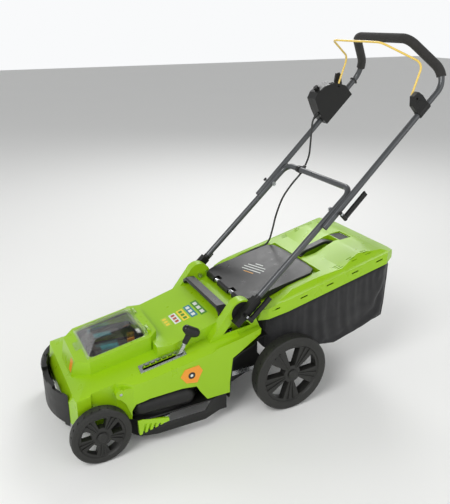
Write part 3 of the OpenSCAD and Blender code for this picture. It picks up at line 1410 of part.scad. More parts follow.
// Gland on the right ear that the cable enters
module cable_gland() {
    q = from_fold([cable_lower_route[11], cable_lower_route[12]]);
    d = unit(q[1] - q[0]);
    ring_run(q[1] + d * part_gap, q[1] + d * 14, 7, 0);
}

// ---------------------------------------------------------------- drawing

deck_hood();
cutting_deck();
edge_combs();
front_bumper();
battery_tray();
notch_plate();
carry_handle();
rear_chute();
axle_brackets();
motor_housing();
motor_controller();
flap_pin();
flap_springs();
deck_screws();
pivot_discs();
badges();
rear_flap();
motor_shaft();
blade_fan();
blade();
blade_bolt();
front_axle();
rear_axle();
linkage_rod();
height_lever();
lever_knob();
front_wheel_left();
front_wheel_right();
rear_wheel_left();
rear_wheel_right();
front_cap_left();
front_cap_right();
rear_cap_left();
rear_cap_right();
battery_left();
battery_right();
safety_key();
battery_lid();
lower_frame();
tube_sockets();
lower_clamp_bolts();
lower_cam_left();
lower_cam_right();
upper_handle();
foam_grip();
switch_box();
switch_cover();
lock_button();
bail_lever();
bail_bracket();
upper_clamp_bolts();
upper_cam_left();
upper_cam_right();
bag_lid();
bag_fabric();
bag_handle();
level_flap();
cable_lower();
cable_upper();
cable_clip();
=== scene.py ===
"""Cordless push lawn mower: the looks of its hood, deck, wheels, handle, cable and grass bag.

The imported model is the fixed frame. This script dresses its nodes in procedural finishes, rounds the
moulded edges, and makes the soft and printed pieces: the cloth bag, the cable and the plain labels.
Lengths are in metres, +Z up, the mower's front towards -Y and its left side towards +X.
"""

import json
import logging
import math
from collections.abc import Iterable, Sequence
from dataclasses import dataclass, field
from enum import Enum

import bmesh
import bpy
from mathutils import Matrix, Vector, noise
from mathutils.bvhtree import BVHTree


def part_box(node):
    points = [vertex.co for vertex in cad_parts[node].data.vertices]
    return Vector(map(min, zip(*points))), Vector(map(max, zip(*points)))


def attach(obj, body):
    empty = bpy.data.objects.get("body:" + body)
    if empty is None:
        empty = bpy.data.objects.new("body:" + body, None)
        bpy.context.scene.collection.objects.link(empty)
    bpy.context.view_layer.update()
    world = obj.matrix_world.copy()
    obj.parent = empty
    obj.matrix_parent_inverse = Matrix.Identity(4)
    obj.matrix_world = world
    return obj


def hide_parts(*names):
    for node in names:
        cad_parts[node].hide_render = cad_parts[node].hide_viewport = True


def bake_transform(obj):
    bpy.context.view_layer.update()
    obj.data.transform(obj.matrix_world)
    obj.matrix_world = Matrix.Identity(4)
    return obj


logging.basicConfig(level=logging.INFO, format="%(name)s: %(message)s")
LOG = logging.getLogger("mower")

MM = 0.001
# Twice the triangle area, in square metres, under which three points count as one straight line
FLAT = 1e-7

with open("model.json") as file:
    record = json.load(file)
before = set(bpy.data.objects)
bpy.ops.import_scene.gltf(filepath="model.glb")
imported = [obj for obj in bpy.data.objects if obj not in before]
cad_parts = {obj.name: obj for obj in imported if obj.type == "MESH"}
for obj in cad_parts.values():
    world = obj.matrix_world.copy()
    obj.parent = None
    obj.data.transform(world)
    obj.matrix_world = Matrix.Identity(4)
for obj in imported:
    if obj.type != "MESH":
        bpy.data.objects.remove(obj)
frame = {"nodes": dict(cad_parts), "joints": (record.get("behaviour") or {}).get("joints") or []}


# ------------------------------------------------------------------ colours and nodes


def linear(hex_colour: str, alpha: float = 1.0) -> tuple[float, float, float, float]:
    """Turn an sRGB hex colour into linear RGBA.

    Args:
        hex_colour: Colour as #RRGGBB.
        alpha: Alpha of the result.

    Returns:
        Linear red, green, blue and alpha.
    """
    channels = [int(hex_colour[i : i + 2], 16) / 255 for i in (1, 3, 5)]
    bent = [c / 12.92 if c <= 0.04045 else ((c + 0.055) / 1.055) ** 2.4 for c in channels]
    return (*bent, alpha)


def add_node(
    tree: bpy.types.NodeTree,
    kind: str,
    settings: dict | None = None,
    links: dict | None = None,
) -> bpy.types.Node:
    """Add a shader node with its settings and links.

    Args:
        tree: Node tree that takes the node.
        kind: Blender's type name of the node.
        settings: Values by input name or number, or by property name.
        links: Output sockets by the input name or number that they feed.

    Returns:
        The new node.
    """
    node = tree.nodes.new(kind)
    for key, value in (settings or {}).items():
        if isinstance(key, int) or key in node.inputs:
            node.inputs[key].default_value = value
        else:
            setattr(node, key, value)
    for key, socket in (links or {}).items():
        tree.links.new(socket, node.inputs[key])
    return node


def per_metre(size_mm: float) -> float:
    """Texture scale that gives a pattern one repeat every size_mm millimetres."""
    return 1.0 / (size_mm * MM)


@dataclass(frozen=True)
class Finish:
    """Surface of one real material: its colours, gloss and grain.

    Fields:
        name: Name of the Blender material.
        colour: Main sRGB colour.
        shade: sRGB colour that drifts in over large patches.
        roughness: Middle roughness.
        roughness_drift: How far the roughness drifts either way.
        drift_mm: Size of the colour and roughness patches.
        grain_mm: Size of the grain that the bump follows.
        grain_height_mm: Height of the grain.
        metallic: 1 for bare metal.
        ior: Refractive index, left at Blender's default on a metal.
        coat: Weight of a clear coat.
        sheen: Weight of a cloth sheen.
        specular: Level of the mirror reflection, 0.5 for a clean surface and less for a dusty one.
    """

    name: str
    colour: str
    shade: str
    roughness: float = 0.5
    roughness_drift: float = 0.06
    drift_mm: float = 90.0
    grain_mm: float = 1.2
    grain_height_mm: float = 0.05
    metallic: float = 0.0
    ior: float = 1.5
    coat: float = 0.0
    sheen: float = 0.0
    specular: float = 0.5

    def material(self) -> bpy.types.Material:
        """Return the Blender material, made on first use."""
        made = bpy.data.materials.get(self.name)
        return made or self.build()

    def build(self) -> bpy.types.Material:
        """Make the Blender material.

        Returns:
            The new material.
        """
        material = bpy.data.materials.new(self.name)
        material.use_nodes = True
        tree = material.node_tree
        tree.nodes.clear()
        place = add_node(tree, "ShaderNodeTexCoord").outputs["Object"]
        surface = add_node(
            tree,
            "ShaderNodeBsdfPrincipled",
            {
                "Metallic": self.metallic,
                "IOR": self.ior,
                "Coat Weight": self.coat,
                "Coat Roughness": 0.12,
                "Sheen Weight": self.sheen,
                "Specular IOR Level": self.specular,
            },
        )
        tree.links.new(self.colour_socket(tree, place), surface.inputs["Base Color"])
        tree.links.new(self.roughness_socket(tree, place), surface.inputs["Roughness"])
        tree.links.new(self.normal_socket(tree, place), surface.inputs["Normal"])
        self.extend(surface)
        add_node(tree, "ShaderNodeOutputMaterial", links={"Surface": surface.outputs[0]})
        return material

    def colour_socket(
        self, tree: bpy.types.NodeTree, place: bpy.types.NodeSocket
    ) -> bpy.types.NodeSocket:
        """Colour that drifts softly between the main colour and its shade.

        Args:
            tree: Node tree of the material.
            place: Object coordinates.

        Returns:
            Socket with the colour.
        """
        drift = add_node(
            tree,
            "ShaderNodeTexNoise",
            {"Scale": per_metre(self.drift_mm), "Detail": 3.0},
            {"Vector": place},
        )
        mix = add_node(
            tree,
            "ShaderNodeMix",
            {"data_type": "RGBA", 6: linear(self.colour), 7: linear(self.shade)},
            {0: drift.outputs["Fac"]},
        )
        return mix.outputs[2]

    def roughness_socket(
        self, tree: bpy.types.NodeTree, place: bpy.types.NodeSocket
    ) -> bpy.types.NodeSocket:
        """Roughness that drifts over patches a third of the colour's size.

        Args:
            tree: Node tree of the material.
            place: Object coordinates.

        Returns:
            Socket with the roughness.
        """
        drift = add_node(
            tree,
            "ShaderNodeTexNoise",
            {"Scale": per_metre(self.drift_mm / 3), "Detail": 2.0},
            {"Vector": place},
        )
        spread = add_node(
            tree,
            "ShaderNodeMapRange",
            {
                "From Min": 0.25,
                "From Max": 0.75,
                "To Min": self.roughness - self.roughness_drift,
                "To Max": self.roughness + self.roughness_drift,
            },
            {"Value": drift.outputs["Fac"]},
        )
        return spread.outputs[0]

    def normal_socket(
        self, tree: bpy.types.NodeTree, place: bpy.types.NodeSocket
    ) -> bpy.types.NodeSocket:
        """Bump of the surface's grain.

        Args:
            tree: Node tree of the material.
            place: Object coordinates.

        Returns:
            Socket with the bumped normal.
        """
        return self.bump(tree, self.grain_socket(tree, place))

    def grain_socket(
        self, tree: bpy.types.NodeTree, place: bpy.types.NodeSocket
    ) -> bpy.types.NodeSocket:
        """Height of the grain, here an even noise.

        Args:
            tree: Node tree of the material.
            place: Object coordinates.

        Returns:
            Socket with the height, from 0 to 1.
        """
        grain = add_node(
            tree,
            "ShaderNodeTexNoise",
            {"Scale": per_metre(self.grain_mm), "Detail": 2.0},
            {"Vector": place},
        )
        return grain.outputs["Fac"]

    def bump(
        self, tree: bpy.types.NodeTree, height: bpy.types.NodeSocket
    ) -> bpy.types.NodeSocket:
        """Bumped normal for a height that runs from 0 to 1.

        Args:
            tree: Node tree of the material.
            height: Socket with the height.

        Returns:
            Socket with the normal.
        """
        bump = add_node(
            tree,
            "ShaderNodeBump",
            {"Strength": 1.0, "Distance": self.grain_height_mm * MM},
            {"Height": height},
        )
        return bump.outputs["Normal"]

    def extend(self, surface: bpy.types.Node) -> None:
        """Add what this finish needs beyond colour, gloss and grain."""


@dataclass(frozen=True)
class CellFoam(Finish):
    """Closed-cell foam: small open cells cut at the skin, which scatter all gloss."""

    def grain_socket(
        self, tree: bpy.types.NodeTree, place: bpy.types.NodeSocket
    ) -> bpy.types.NodeSocket:
        """Height of the cells.

        Args:
            tree: Node tree of the material.
            place: Object coordinates.

        Returns:
            Socket with the height.
        """
        cells = add_node(
            tree,
            "ShaderNodeTexVoronoi",
            {"Scale": per_metre(self.grain_mm)},
            {"Vector": place},
        )
        return cells.outputs["Distance"]


@dataclass(frozen=True)
class ClearSheet(Finish):
    """Clear polycarbonate, moulded smooth: it lets light through and bends it.

    Fields:
        opacity: Share of the light that the sheet stops, so that the packs under it stay clear to see.
    """

    opacity: float = 0.34

    def extend(self, surface: bpy.types.Node) -> None:
        """Let light through."""
        surface.inputs["Transmission Weight"].default_value = 1.0
        surface.inputs["Alpha"].default_value = self.opacity


@dataclass(frozen=True)
class WovenMesh(Finish):
    """Polyester mesh: crossing yarns with small dark gaps, and a dull sheen.

    Fields:
        yarn_mm: Distance between yarns, drawn about twice as coarse as the real 1.2 mm so that it shows.
    """

    yarn_mm: float = 2.6

    def weave(
        self, tree: bpy.types.NodeTree, place: bpy.types.NodeSocket
    ) -> bpy.types.NodeSocket:
        """Height of the weave from two crossing wave bands.

        Args:
            tree: Node tree of the material.
            place: Object coordinates.

        Returns:
            Socket with the height.
        """
        bands = [
            add_node(
                tree,
                "ShaderNodeTexWave",
                {
                    "wave_type": "BANDS",
                    "bands_direction": direction,
                    "Scale": per_metre(self.yarn_mm) / (2 * math.pi) * 2,
                    "Distortion": 0.6,
                    "Detail": 1.0,
                },
                {"Vector": place},
            ).outputs["Fac"]
            for direction in ("Z", "DIAGONAL")
        ]
        both = add_node(
            tree, "ShaderNodeMath", {"operation": "MULTIPLY"}, {0: bands[0], 1: bands[1]}
        )
        return both.outputs[0]

    def colour_socket(
        self, tree: bpy.types.NodeTree, place: bpy.types.NodeSocket
    ) -> bpy.types.NodeSocket:
        """Yarn colour, darker in the gaps and drifting over large patches.

        Args:
            tree: Node tree of the material.
            place: Object coordinates.

        Returns:
            Socket with the colour.
        """
        base = super().colour_socket(tree, place)
        gaps = add_node(
            tree,
            "ShaderNodeMapRange",
            {"From Min": 0.0, "From Max": 0.6, "To Min": 0.45, "To Max": 1.0},
            {"Value": self.weave(tree, place)},
        )
        darkened = add_node(
            tree,
            "ShaderNodeMix",
            {"data_type": "RGBA", "blend_type": "MULTIPLY", 0: 1.0},
            {6: base, 7: gaps.outputs[0]},
        )
        return darkened.outputs[2]

    def grain_socket(
        self, tree: bpy.types.NodeTree, place: bpy.types.NodeSocket
    ) -> bpy.types.NodeSocket:
        """Height of the weave."""
        return self.weave(tree, place)


# Injection-moulded ABS with a polished mould: a clear, even gloss with a faint ripple.
GREEN_ABS = Finish(
    "lime_green_abs", "#98C512", "#8DBA0C", 0.30, 0.04, 160, 6.0, 0.015, ior=1.54, specular=0.4
)
# Moulded polypropylene with a fine spark-eroded texture: soft, broad highlights.
BLACK_PP = Finish(
    "black_textured_pp", "#191918", "#141413", 0.44, 0.06, 80, 1.3, 0.06, ior=1.49, specular=0.36
)
# The same polymer from a smoother mould, on knobs, levers and the flap.
BLACK_SATIN = Finish(
    "black_satin_pp", "#151515", "#1B1B1A", 0.31, 0.05, 70, 2.4, 0.02, ior=1.5, specular=0.36
)
# Glass-filled nylon wheels: dull charcoal with a dry grain.
WHEEL_NYLON = Finish(
    "charcoal_wheel_nylon", "#222220", "#292926", 0.50, 0.06, 60, 1.6, 0.07, ior=1.53, specular=0.36
)
# Powder coat over steel tube: a satin skin with a slight orange peel.
POWDER_COAT = Finish("grey_powder_coat", "#4C4E50", "#454749", 0.30, 0.04, 150, 2.2, 0.04, 0.35, coat=0.15)
# Zinc-plated mild steel: bright, with cloudy patches left by the plating bath.
ZINC_STEEL = Finish("zinc_plated_steel", "#C9CBCD", "#AEB1B4", 0.26, 0.08, 18, 1.5, 0.02, 1.0)
# Ethylene-vinyl foam sleeve.
GRIP_FOAM = CellFoam("grip_foam", "#262523", "#2D2B2A", 0.88, 0.04, 60, 2.2, 0.25, sheen=0.08)
# Glossy yellow dip coat over steel wire.
YELLOW_DIP = Finish("pale_yellow_dip_coat", "#EBCB63", "#E4C157", 0.32, 0.04, 60, 3.0, 0.03, coat=0.2)
# Clear polycarbonate lid.
CLEAR_PC = ClearSheet("clear_polycarbonate", "#F4F7F6", "#EEF2F1", 0.04, 0.015, 60, 8.0, 0.02, ior=1.585)
# Polyester mesh of the bag.
BAG_MESH = WovenMesh("black_polyester_mesh", "#1A1A1C", "#232325", 0.80, 0.05, 70, 2.6, 0.22, sheen=0.18)
# Woven binding tape at the bag's seams: closer and a little shinier than the mesh.
BINDING_TAPE = WovenMesh(
    "black_binding_tape", "#161618", "#1E1E20", 0.66, 0.05, 40, 1.6, 0.15, sheen=0.15, yarn_mm=1.6
)
# Printed vinyl film, plain colour with no lettering.
ORANGE_FILM = Finish("orange_vinyl_film", "#EE9A22", "#E79119", 0.30, 0.03, 50, 5.0, 0.01, coat=0.3)
FILM_LIME = Finish("lime_film", "#A9C83A", "#A1C030", 0.34, 0.03, 40, 5.0, 0.01)
FILM_YELLOW = Finish("yellow_film", "#E8CF3C", "#E0C632", 0.34, 0.03, 40, 5.0, 0.01)
FILM_WHITE = Finish("white_film", "#DDE2DC", "#D2D8D1", 0.36, 0.03, 40, 5.0, 0.01)
FILM_BLUE = Finish("blue_film", "#2F7F92", "#2A7588", 0.34, 0.03, 40, 5.0, 0.01)
FILM_LEAF = Finish("leaf_green_film", "#4F8F1E", "#478519", 0.34, 0.03, 40, 5.0, 0.01)
FILM_RED = Finish("brick_red_film", "#B5563A", "#AA4E33", 0.34, 0.03, 40, 5.0, 0.01)
FILM_AMBER = Finish("amber_film", "#D99A2C", "#CF9125", 0.34, 0.03, 40, 5.0, 0.01)
FILM_INK = Finish("ink_film", "#1B1A19", "#232120", 0.36, 0.03, 40, 5.0, 0.01)
FILM_TEAL = Finish("teal_film", "#1F7C80", "#1A7277", 0.34, 0.03, 40, 5.0, 0.01)
# Soft PVC sheath of the cable.
CABLE_PVC = Finish("black_pvc_sheath", "#171717", "#1D1D1D", 0.46, 0.05, 40, 2.0, 0.03)
# Dark brown ABS of the battery packs under the clear lid.
PACK_ABS = Finish("brown_black_abs", "#2A1F19", "#231B17", 0.42, 0.05, 60, 1.4, 0.05)


class Dress(Enum):
    """Which finish each kind of CAD node takes."""

    GREEN = (GREEN_ABS, ("deck_hood", "edge_combs", "bag_lid"))
    BLACK = (
        BLACK_PP,
        (
            "cutting_deck", "front_bumper", "battery_tray", "rear_chute", "axle_brackets", "motor_housing",
            "motor_controller", "blade_fan", "pivot_discs", "tube_sockets", "switch_box", "switch_cover",
            "bail_bracket", "level_flap", "lock_button",
        ),
    )
    SATIN = (
        BLACK_SATIN,
        (
            "rear_flap", "carry_handle", "lever_knob", "lower_cam_left", "lower_cam_right",
            "upper_cam_left", "upper_cam_right", "bag_handle", "cable_clip",
        ),
    )
    WHEEL = (
        WHEEL_NYLON,
        (
            "front_wheel_left", "front_wheel_right", "rear_wheel_left", "rear_wheel_right",
            "front_cap_left", "front_cap_right", "rear_cap_left", "rear_cap_right",
        ),
    )
    TUBE = (POWDER_COAT, ("lower_frame", "upper_handle"))
    STEEL = (
        ZINC_STEEL,
        (
            "flap_pin", "flap_springs", "deck_screws", "motor_shaft", "blade", "blade_bolt", "front_axle",
            "rear_axle", "linkage_rod", "height_lever", "lower_clamp_bolts", "upper_clamp_bolts",
            "notch_plate",
        ),
    )
    FOAM = (GRIP_FOAM, ("foam_grip",))
    YELLOW = (YELLOW_DIP, ("bail_lever",))
    PACK = (PACK_ABS, ("battery_left", "battery_right"))
    CLEAR = (CLEAR_PC, ("battery_lid",))
    CLOTH = (BAG_MESH, ("bag_fabric",))
    FILM = (ORANGE_FILM, ("badges", "safety_key"))
    SHEATH = (CABLE_PVC, ("cable_lower", "cable_upper"))


# ------------------------------------------------------------------ mesh helpers


def new_object(name: str, mesh: bpy.types.Mesh, finish: Finish) -> bpy.types.Object:
    """Link a new smooth-shaded object.

    Args:
        name: Name of the piece.
        mesh: Its mesh.
        finish: Its finish.

    Returns:
        The new object.
    """
    piece = bpy.data.objects.new(name, mesh)
    bpy.context.scene.collection.objects.link(piece)
    mesh.materials.clear()
    mesh.materials.append(finish.material())
    mesh.shade_smooth()
    return piece


def from_bmesh(name: str, shape: bmesh.types.BMesh, finish: Finish) -> bpy.types.Object:
    """Turn a bmesh into a linked object.

    Args:
        name: Name of the piece.
        shape: The bmesh, freed here.
        finish: Its finish.

    Returns:
        The new object.
    """
    mesh = bpy.data.meshes.new(name)
    bmesh.ops.recalc_face_normals(shape, faces=shape.faces)
    shape.to_mesh(mesh)
    shape.free()
    return new_object(name, mesh, finish)


def apply_modifiers(piece: bpy.types.Object) -> None:
    """Bake a piece's modifiers into its mesh."""
    graph = bpy.context.evaluated_depsgraph_get()
    made = bpy.data.meshes.new_from_object(piece.evaluated_get(graph))
    old = piece.data
    piece.modifiers.clear()
    piece.data = made
    bpy.data.meshes.remove(old)


def catmull_rom(points: Sequence[Vector], steps: int) -> list[Vector]:
    """Smooth route through given points.

    Args:
        points: Points that the route goes through.
        steps: Stretches between two of them.

    Returns:
        Points along the route.
    """
    route = []
    for i in range(len(points) - 1):
        a, b = points[max(i - 1, 0)], points[i]
        c, d = points[i + 1], points[min(i + 2, len(points) - 1)]
        for j in range(steps):
            t = j / steps
            square, cube = 2 * a - 5 * b + 4 * c - d, 3 * b - a - 3 * c + d
            bend = 2 * b + (c - a) * t + square * t * t + cube * t**3
            route.append(bend / 2)
    route.append(points[-1])
    return route


def tube_mesh(name: str, route: Sequence[Vector], radius: float, sides: int = 12) -> bpy.types.Mesh:
    """Tube swept along a route, closed at both ends.

    Args:
        name: Name of the mesh.
        route: Points along the centre line.
        radius: Radius of the tube.
        sides: Sides of its section.

    Returns:
        The new mesh.
    """
    shape = bmesh.new()
    rings = []
    side = None
    for i, point in enumerate(route):
        ahead = (route[min(i + 1, len(route) - 1)] - route[max(i - 1, 0)]).normalized()
        side = ahead.orthogonal() if side is None else side - ahead * side.dot(ahead)
        side.normalize()
        across = ahead.cross(side)
        turns = [2 * math.pi * k / sides for k in range(sides)]
        rings.append(
            [shape.verts.new(point + radius * (math.cos(t) * side + math.sin(t) * across)) for t in turns]
        )
    for low, high in zip(rings, rings[1:]):
        for k in range(sides):
            shape.faces.new((low[k], low[(k + 1) % sides], high[(k + 1) % sides], high[k]))
    shape.faces.new(reversed(rings[0]))
    shape.faces.new(rings[-1])
    bmesh.ops.recalc_face_normals(shape, faces=shape.faces)
    mesh = bpy.data.meshes.new(name)
    shape.to_mesh(mesh)
    shape.free()
    return mesh


def joint_place(name: str) -> Vector:
    """Point on a hinge's axis at rest, in metres."""
    return Vector(next(j["pos_m"] for j in frame["joints"] if j["name"] == name))


# ------------------------------------------------------------------ studio


@dataclass
class Studio:
    """Camera, pale floor and soft lights.

    Fields:
        azimuth: Direction of the view round the mower, in degrees.
        elevation: Height of the view above the horizon, in degrees.
        camera_place: Where the camera stands.
        lens_mm: Focal length on a 36 mm sensor.
        shift: Offset of the picture's middle from the lens's axis, in sensor widths.
        ceiling: Brightness of the ceiling against the walls.
    """

    azimuth: float = 63.3
    elevation: float = 20.6
    camera_place: tuple[float, float, float] = (1.5569, -0.8026, 1.1525)
    lens_mm: float = 42.27
    shift: tuple[float, float] = (-0.0063, -0.0212)
    ceiling: float = 0.42

    def make_camera(self) -> None:
        """Set the scene's camera."""
        turn, rise = math.radians(self.azimuth), math.radians(self.elevation)
        data = bpy.data.cameras.new("view")
        data.lens = self.lens_mm
        data.sensor_width = 36.0
        data.shift_x, data.shift_y = self.shift
        data.clip_start = 0.01
        camera = bpy.data.objects.new("view", data)
        ahead = Vector((-math.sin(turn) * math.cos(rise), math.cos(turn) * math.cos(rise), -math.sin(rise)))
        camera.location = self.camera_place
        camera.rotation_mode = "QUATERNION"
        camera.rotation_quaternion = ahead.to_track_quat("-Z", "Y")
        bpy.context.scene.collection.objects.link(camera)
        bpy.context.scene.camera = camera

    def make_floor(self, half: float = 14.0) -> None:
        """Lay a plain pale floor.

        Args:
            half: Half of the floor's width.
        """
        shape = bmesh.new()
        bmesh.ops.create_grid(shape, x_segments=1, y_segments=1, size=half)
        finish = Finish("pale_floor", "#F4F4F2", "#F2F2F0", 0.75, 0.02, 900, 400, 0.0)
        floor = from_bmesh("floor", shape, finish)

    def make_light(self, name: str, place: Sequence[float], power: float, size: float) -> None:
        """Hang one soft square light aimed at the mower.

        Args:
            name: Name of the light.
            place: Where it hangs.
            power: Its power in watts.
            size: Side of the square.
        """
        data = bpy.data.lights.new(name, "AREA")
        data.energy = power
        data.size = size
        light = bpy.data.objects.new(name, data)
        light.location = place
        aim = Vector((0.0, 0.0, 0.4)) - light.location
        light.rotation_mode = "QUATERNION"
        light.rotation_quaternion = aim.to_track_quat("-Z", "Y")
        bpy.context.scene.collection.objects.link(light)

    def make_sky(self, strength: float = 1.0) -> None:
        """Surround the mower with pale walls under a darker ceiling.

        Args:
            strength: Strength of the light.
        """
        world = bpy.data.worlds.new("studio")
        world.use_nodes = True
        tree = world.node_tree
        glow = tree.nodes["Background"]
        glow.inputs["Color"].default_value = linear("#F9FAFB")
        place = add_node(tree, "ShaderNodeTexCoord").outputs["Generated"]
        height = add_node(tree, "ShaderNodeSeparateXYZ", links={0: place}).outputs["Z"]
        fall = add_node(
            tree,
            "ShaderNodeMapRange",
            {"From Min": 0.12, "From Max": 0.6, "To Min": strength, "To Max": strength * self.ceiling},
            {"Value": height},
        )
        tree.links.new(fall.outputs[0], glow.inputs["Strength"])
        bpy.context.scene.world = world

    def build(self) -> None:
        """Make the whole studio."""
        self.make_camera()
        self.make_sky()
        self.make_floor()
        self.make_light("key", (1.6, -2.6, 3.2), 84.0, 1.8)
        self.make_light("fill", (3.2, 1.0, 1.8), 20.0, 2.2)
        self.make_light("rim", (-2.2, 1.4, 2.6), 38.0, 1.6)
        bpy.context.scene.view_settings.view_transform = "Standard"
        LOG.info("studio ready")


# ------------------------------------------------------------------ cable


@dataclass
class SwitchCable:
    """Cable from the switch box to the deck, clipped on the crossbar.

    Fields:
        radius: Radius of the sheath.
        upper_mm: Route above the clip, from the fold's axis.
        lower_mm: Route below the clip, from the fold's axis.
    """

    radius: float = 0.0032
    upper_mm: list[tuple[float, float, float]] = field(
        default_factory=lambda: [
            (-187.4, 168.6, 210.7), (-185, 162, 194), (-176, 154, 163), (-160, 141, 128), (-136, 122, 100),
            (-116, 101, 82), (-107, 88, 70),
        ]
    )
    lower_mm: list[tuple[float, float, float]] = field(
        default_factory=lambda: [
            (-105, 76, 50), (-107, 62, 34), (-112, 38, 6), (-119, 8, -40), (-127, -11, -100),
            (-138, -18, -157), (-148, -25, -200), (-152, -44, -220), (-153, -80, -226), (-153, -138, -244),
            (-154, -198, -264), (-155, -236, -277), (-155, -256, -286),
        ]
    )

    def stretch(self, name: str, points: Iterable[Sequence[float]]) -> None:
        """Make one stretch of the cable.

        Args:
            name: CAD node that it stands for.
            points: Its route in millimetres from the fold's axis.
        """
        fold = joint_place("upper_fold")
        route = catmull_rom([fold + Vector(p) * MM for p in points], 4)
        piece = new_object(name + "_sheath", tube_mesh(name, route, self.radius), CABLE_PVC)
        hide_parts(name)
        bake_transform(piece)

    def build(self) -> None:
        """Make both stretches."""
        self.stretch("cable_upper", self.upper_mm)
        self.stretch("cable_lower", self.lower_mm)


# ------------------------------------------------------------------ moulded pieces


@dataclass
class Moulding:
    """A CAD node with its sharp edges rounded, as a mould leaves them.

    Fields:
        node: Name of the CAD node.
        radius_mm: Radius of its edges.
        steps: Strips that make one rounded edge.
        sharp_from: Least angle of an edge that is rounded, in degrees.
    """

    node: str
    radius_mm: float = 1.2
    steps: int = 2
    sharp_from: float = 24.0

    def build(self) -> None:
        """Round the node with modifiers, which leave its own mesh as it is."""
        piece = frame["nodes"][self.node]
        weld = piece.modifiers.new("join", "WELD")
        weld.merge_threshold = 0.02 * MM
        edges = piece.modifiers.new("edges", "BEVEL")
        edges.width = self.radius_mm * MM
        edges.segments = self.steps
        edges.limit_method = "ANGLE"
        edges.angle_limit = math.radians(self.sharp_from)
        edges.use_clamp_overlap = True
        edges.harden_normals = False
        even = piece.modifiers.new("even", "WEIGHTED_NORMAL")
        even.keep_sharp = False
        LOG.info("%s rounded", self.node)


# ------------------------------------------------------------------ printed films


@dataclass
class Decal:
    """Thin film that lies on a piece, found by casting rays on it.

    Fields:
        name: Name of the film.
        node: CAD node that it lies on; not used.
        body: Body that carries it.
        middle_mm: A point off the surface that the film's middle is cast from, in the frame.
        across: Direction of the film's width.
        up: Direction of the film's height.
        size_mm: Width and height, or the diameter twice for a disc.
        finish: The film's finish.
        disc: True for a disc.
        lift_mm: Height of the film over the surface.
        slot: Material slot of the film; not used.
    """

    name: str
    node: str
    body: str
    middle_mm: tuple[float, float, float]
    across: Vector
    up: Vector
    size_mm: tuple[float, float]
    finish: Finish
    disc: bool = False
    lift_mm: float = 0.25
    slot: str = "orange_label"

    def grid(self) -> tuple[list[list[tuple[float, float]]], bool]:
        """Points of the film in its own plane, in rows, and whether each row is a ring."""
        wide, high = (v * MM for v in self.size_mm)
        if self.disc:
            turns = [2 * math.pi * k / 28 for k in range(28)]
            rings = [wide / 2 * r for r in (0.02, 0.35, 0.7, 1.0)]
            return [[(r * math.cos(t), r * math.sin(t)) for t in turns] for r in rings], True
        columns = max(2, round(self.size_mm[0] / 4))
        rows = max(2, round(self.size_mm[1] / 4))
        flat = [
            [(wide * (i / columns - 0.5), high * (j / rows - 0.5)) for i in range(columns + 1)]
            for j in range(rows + 1)
        ]
        return flat, False

    def build(self, tree: BVHTree) -> None:
        """Cast the film on the surface.

        Args:
            tree: Tree of the surface.
        """
        middle = Vector(self.middle_mm) * MM
        down = self.up.cross(self.across).normalized()
        rows, ring = self.grid()
        shape = bmesh.new()
        laid: list[list[bmesh.types.BMVert | None]] = []
        for row in rows:
            line = []
            for x, y in row:
                hit, normal, _, _ = tree.ray_cast(middle + self.across * x + self.up * y, down, 0.4)
                line.append(shape.verts.new(hit - down * self.lift_mm * MM) if hit else None)
            laid.append(line + line[:1] if ring else line)
        for low, high in zip(laid, laid[1:]):
            for k in range(len(low) - 1):
                corners = (low[k], low[k + 1], high[k + 1], high[k])
                if None not in corners:
                    shape.faces.new(corners)
        film = from_bmesh(self.name, shape, self.finish)
        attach(film, self.body)


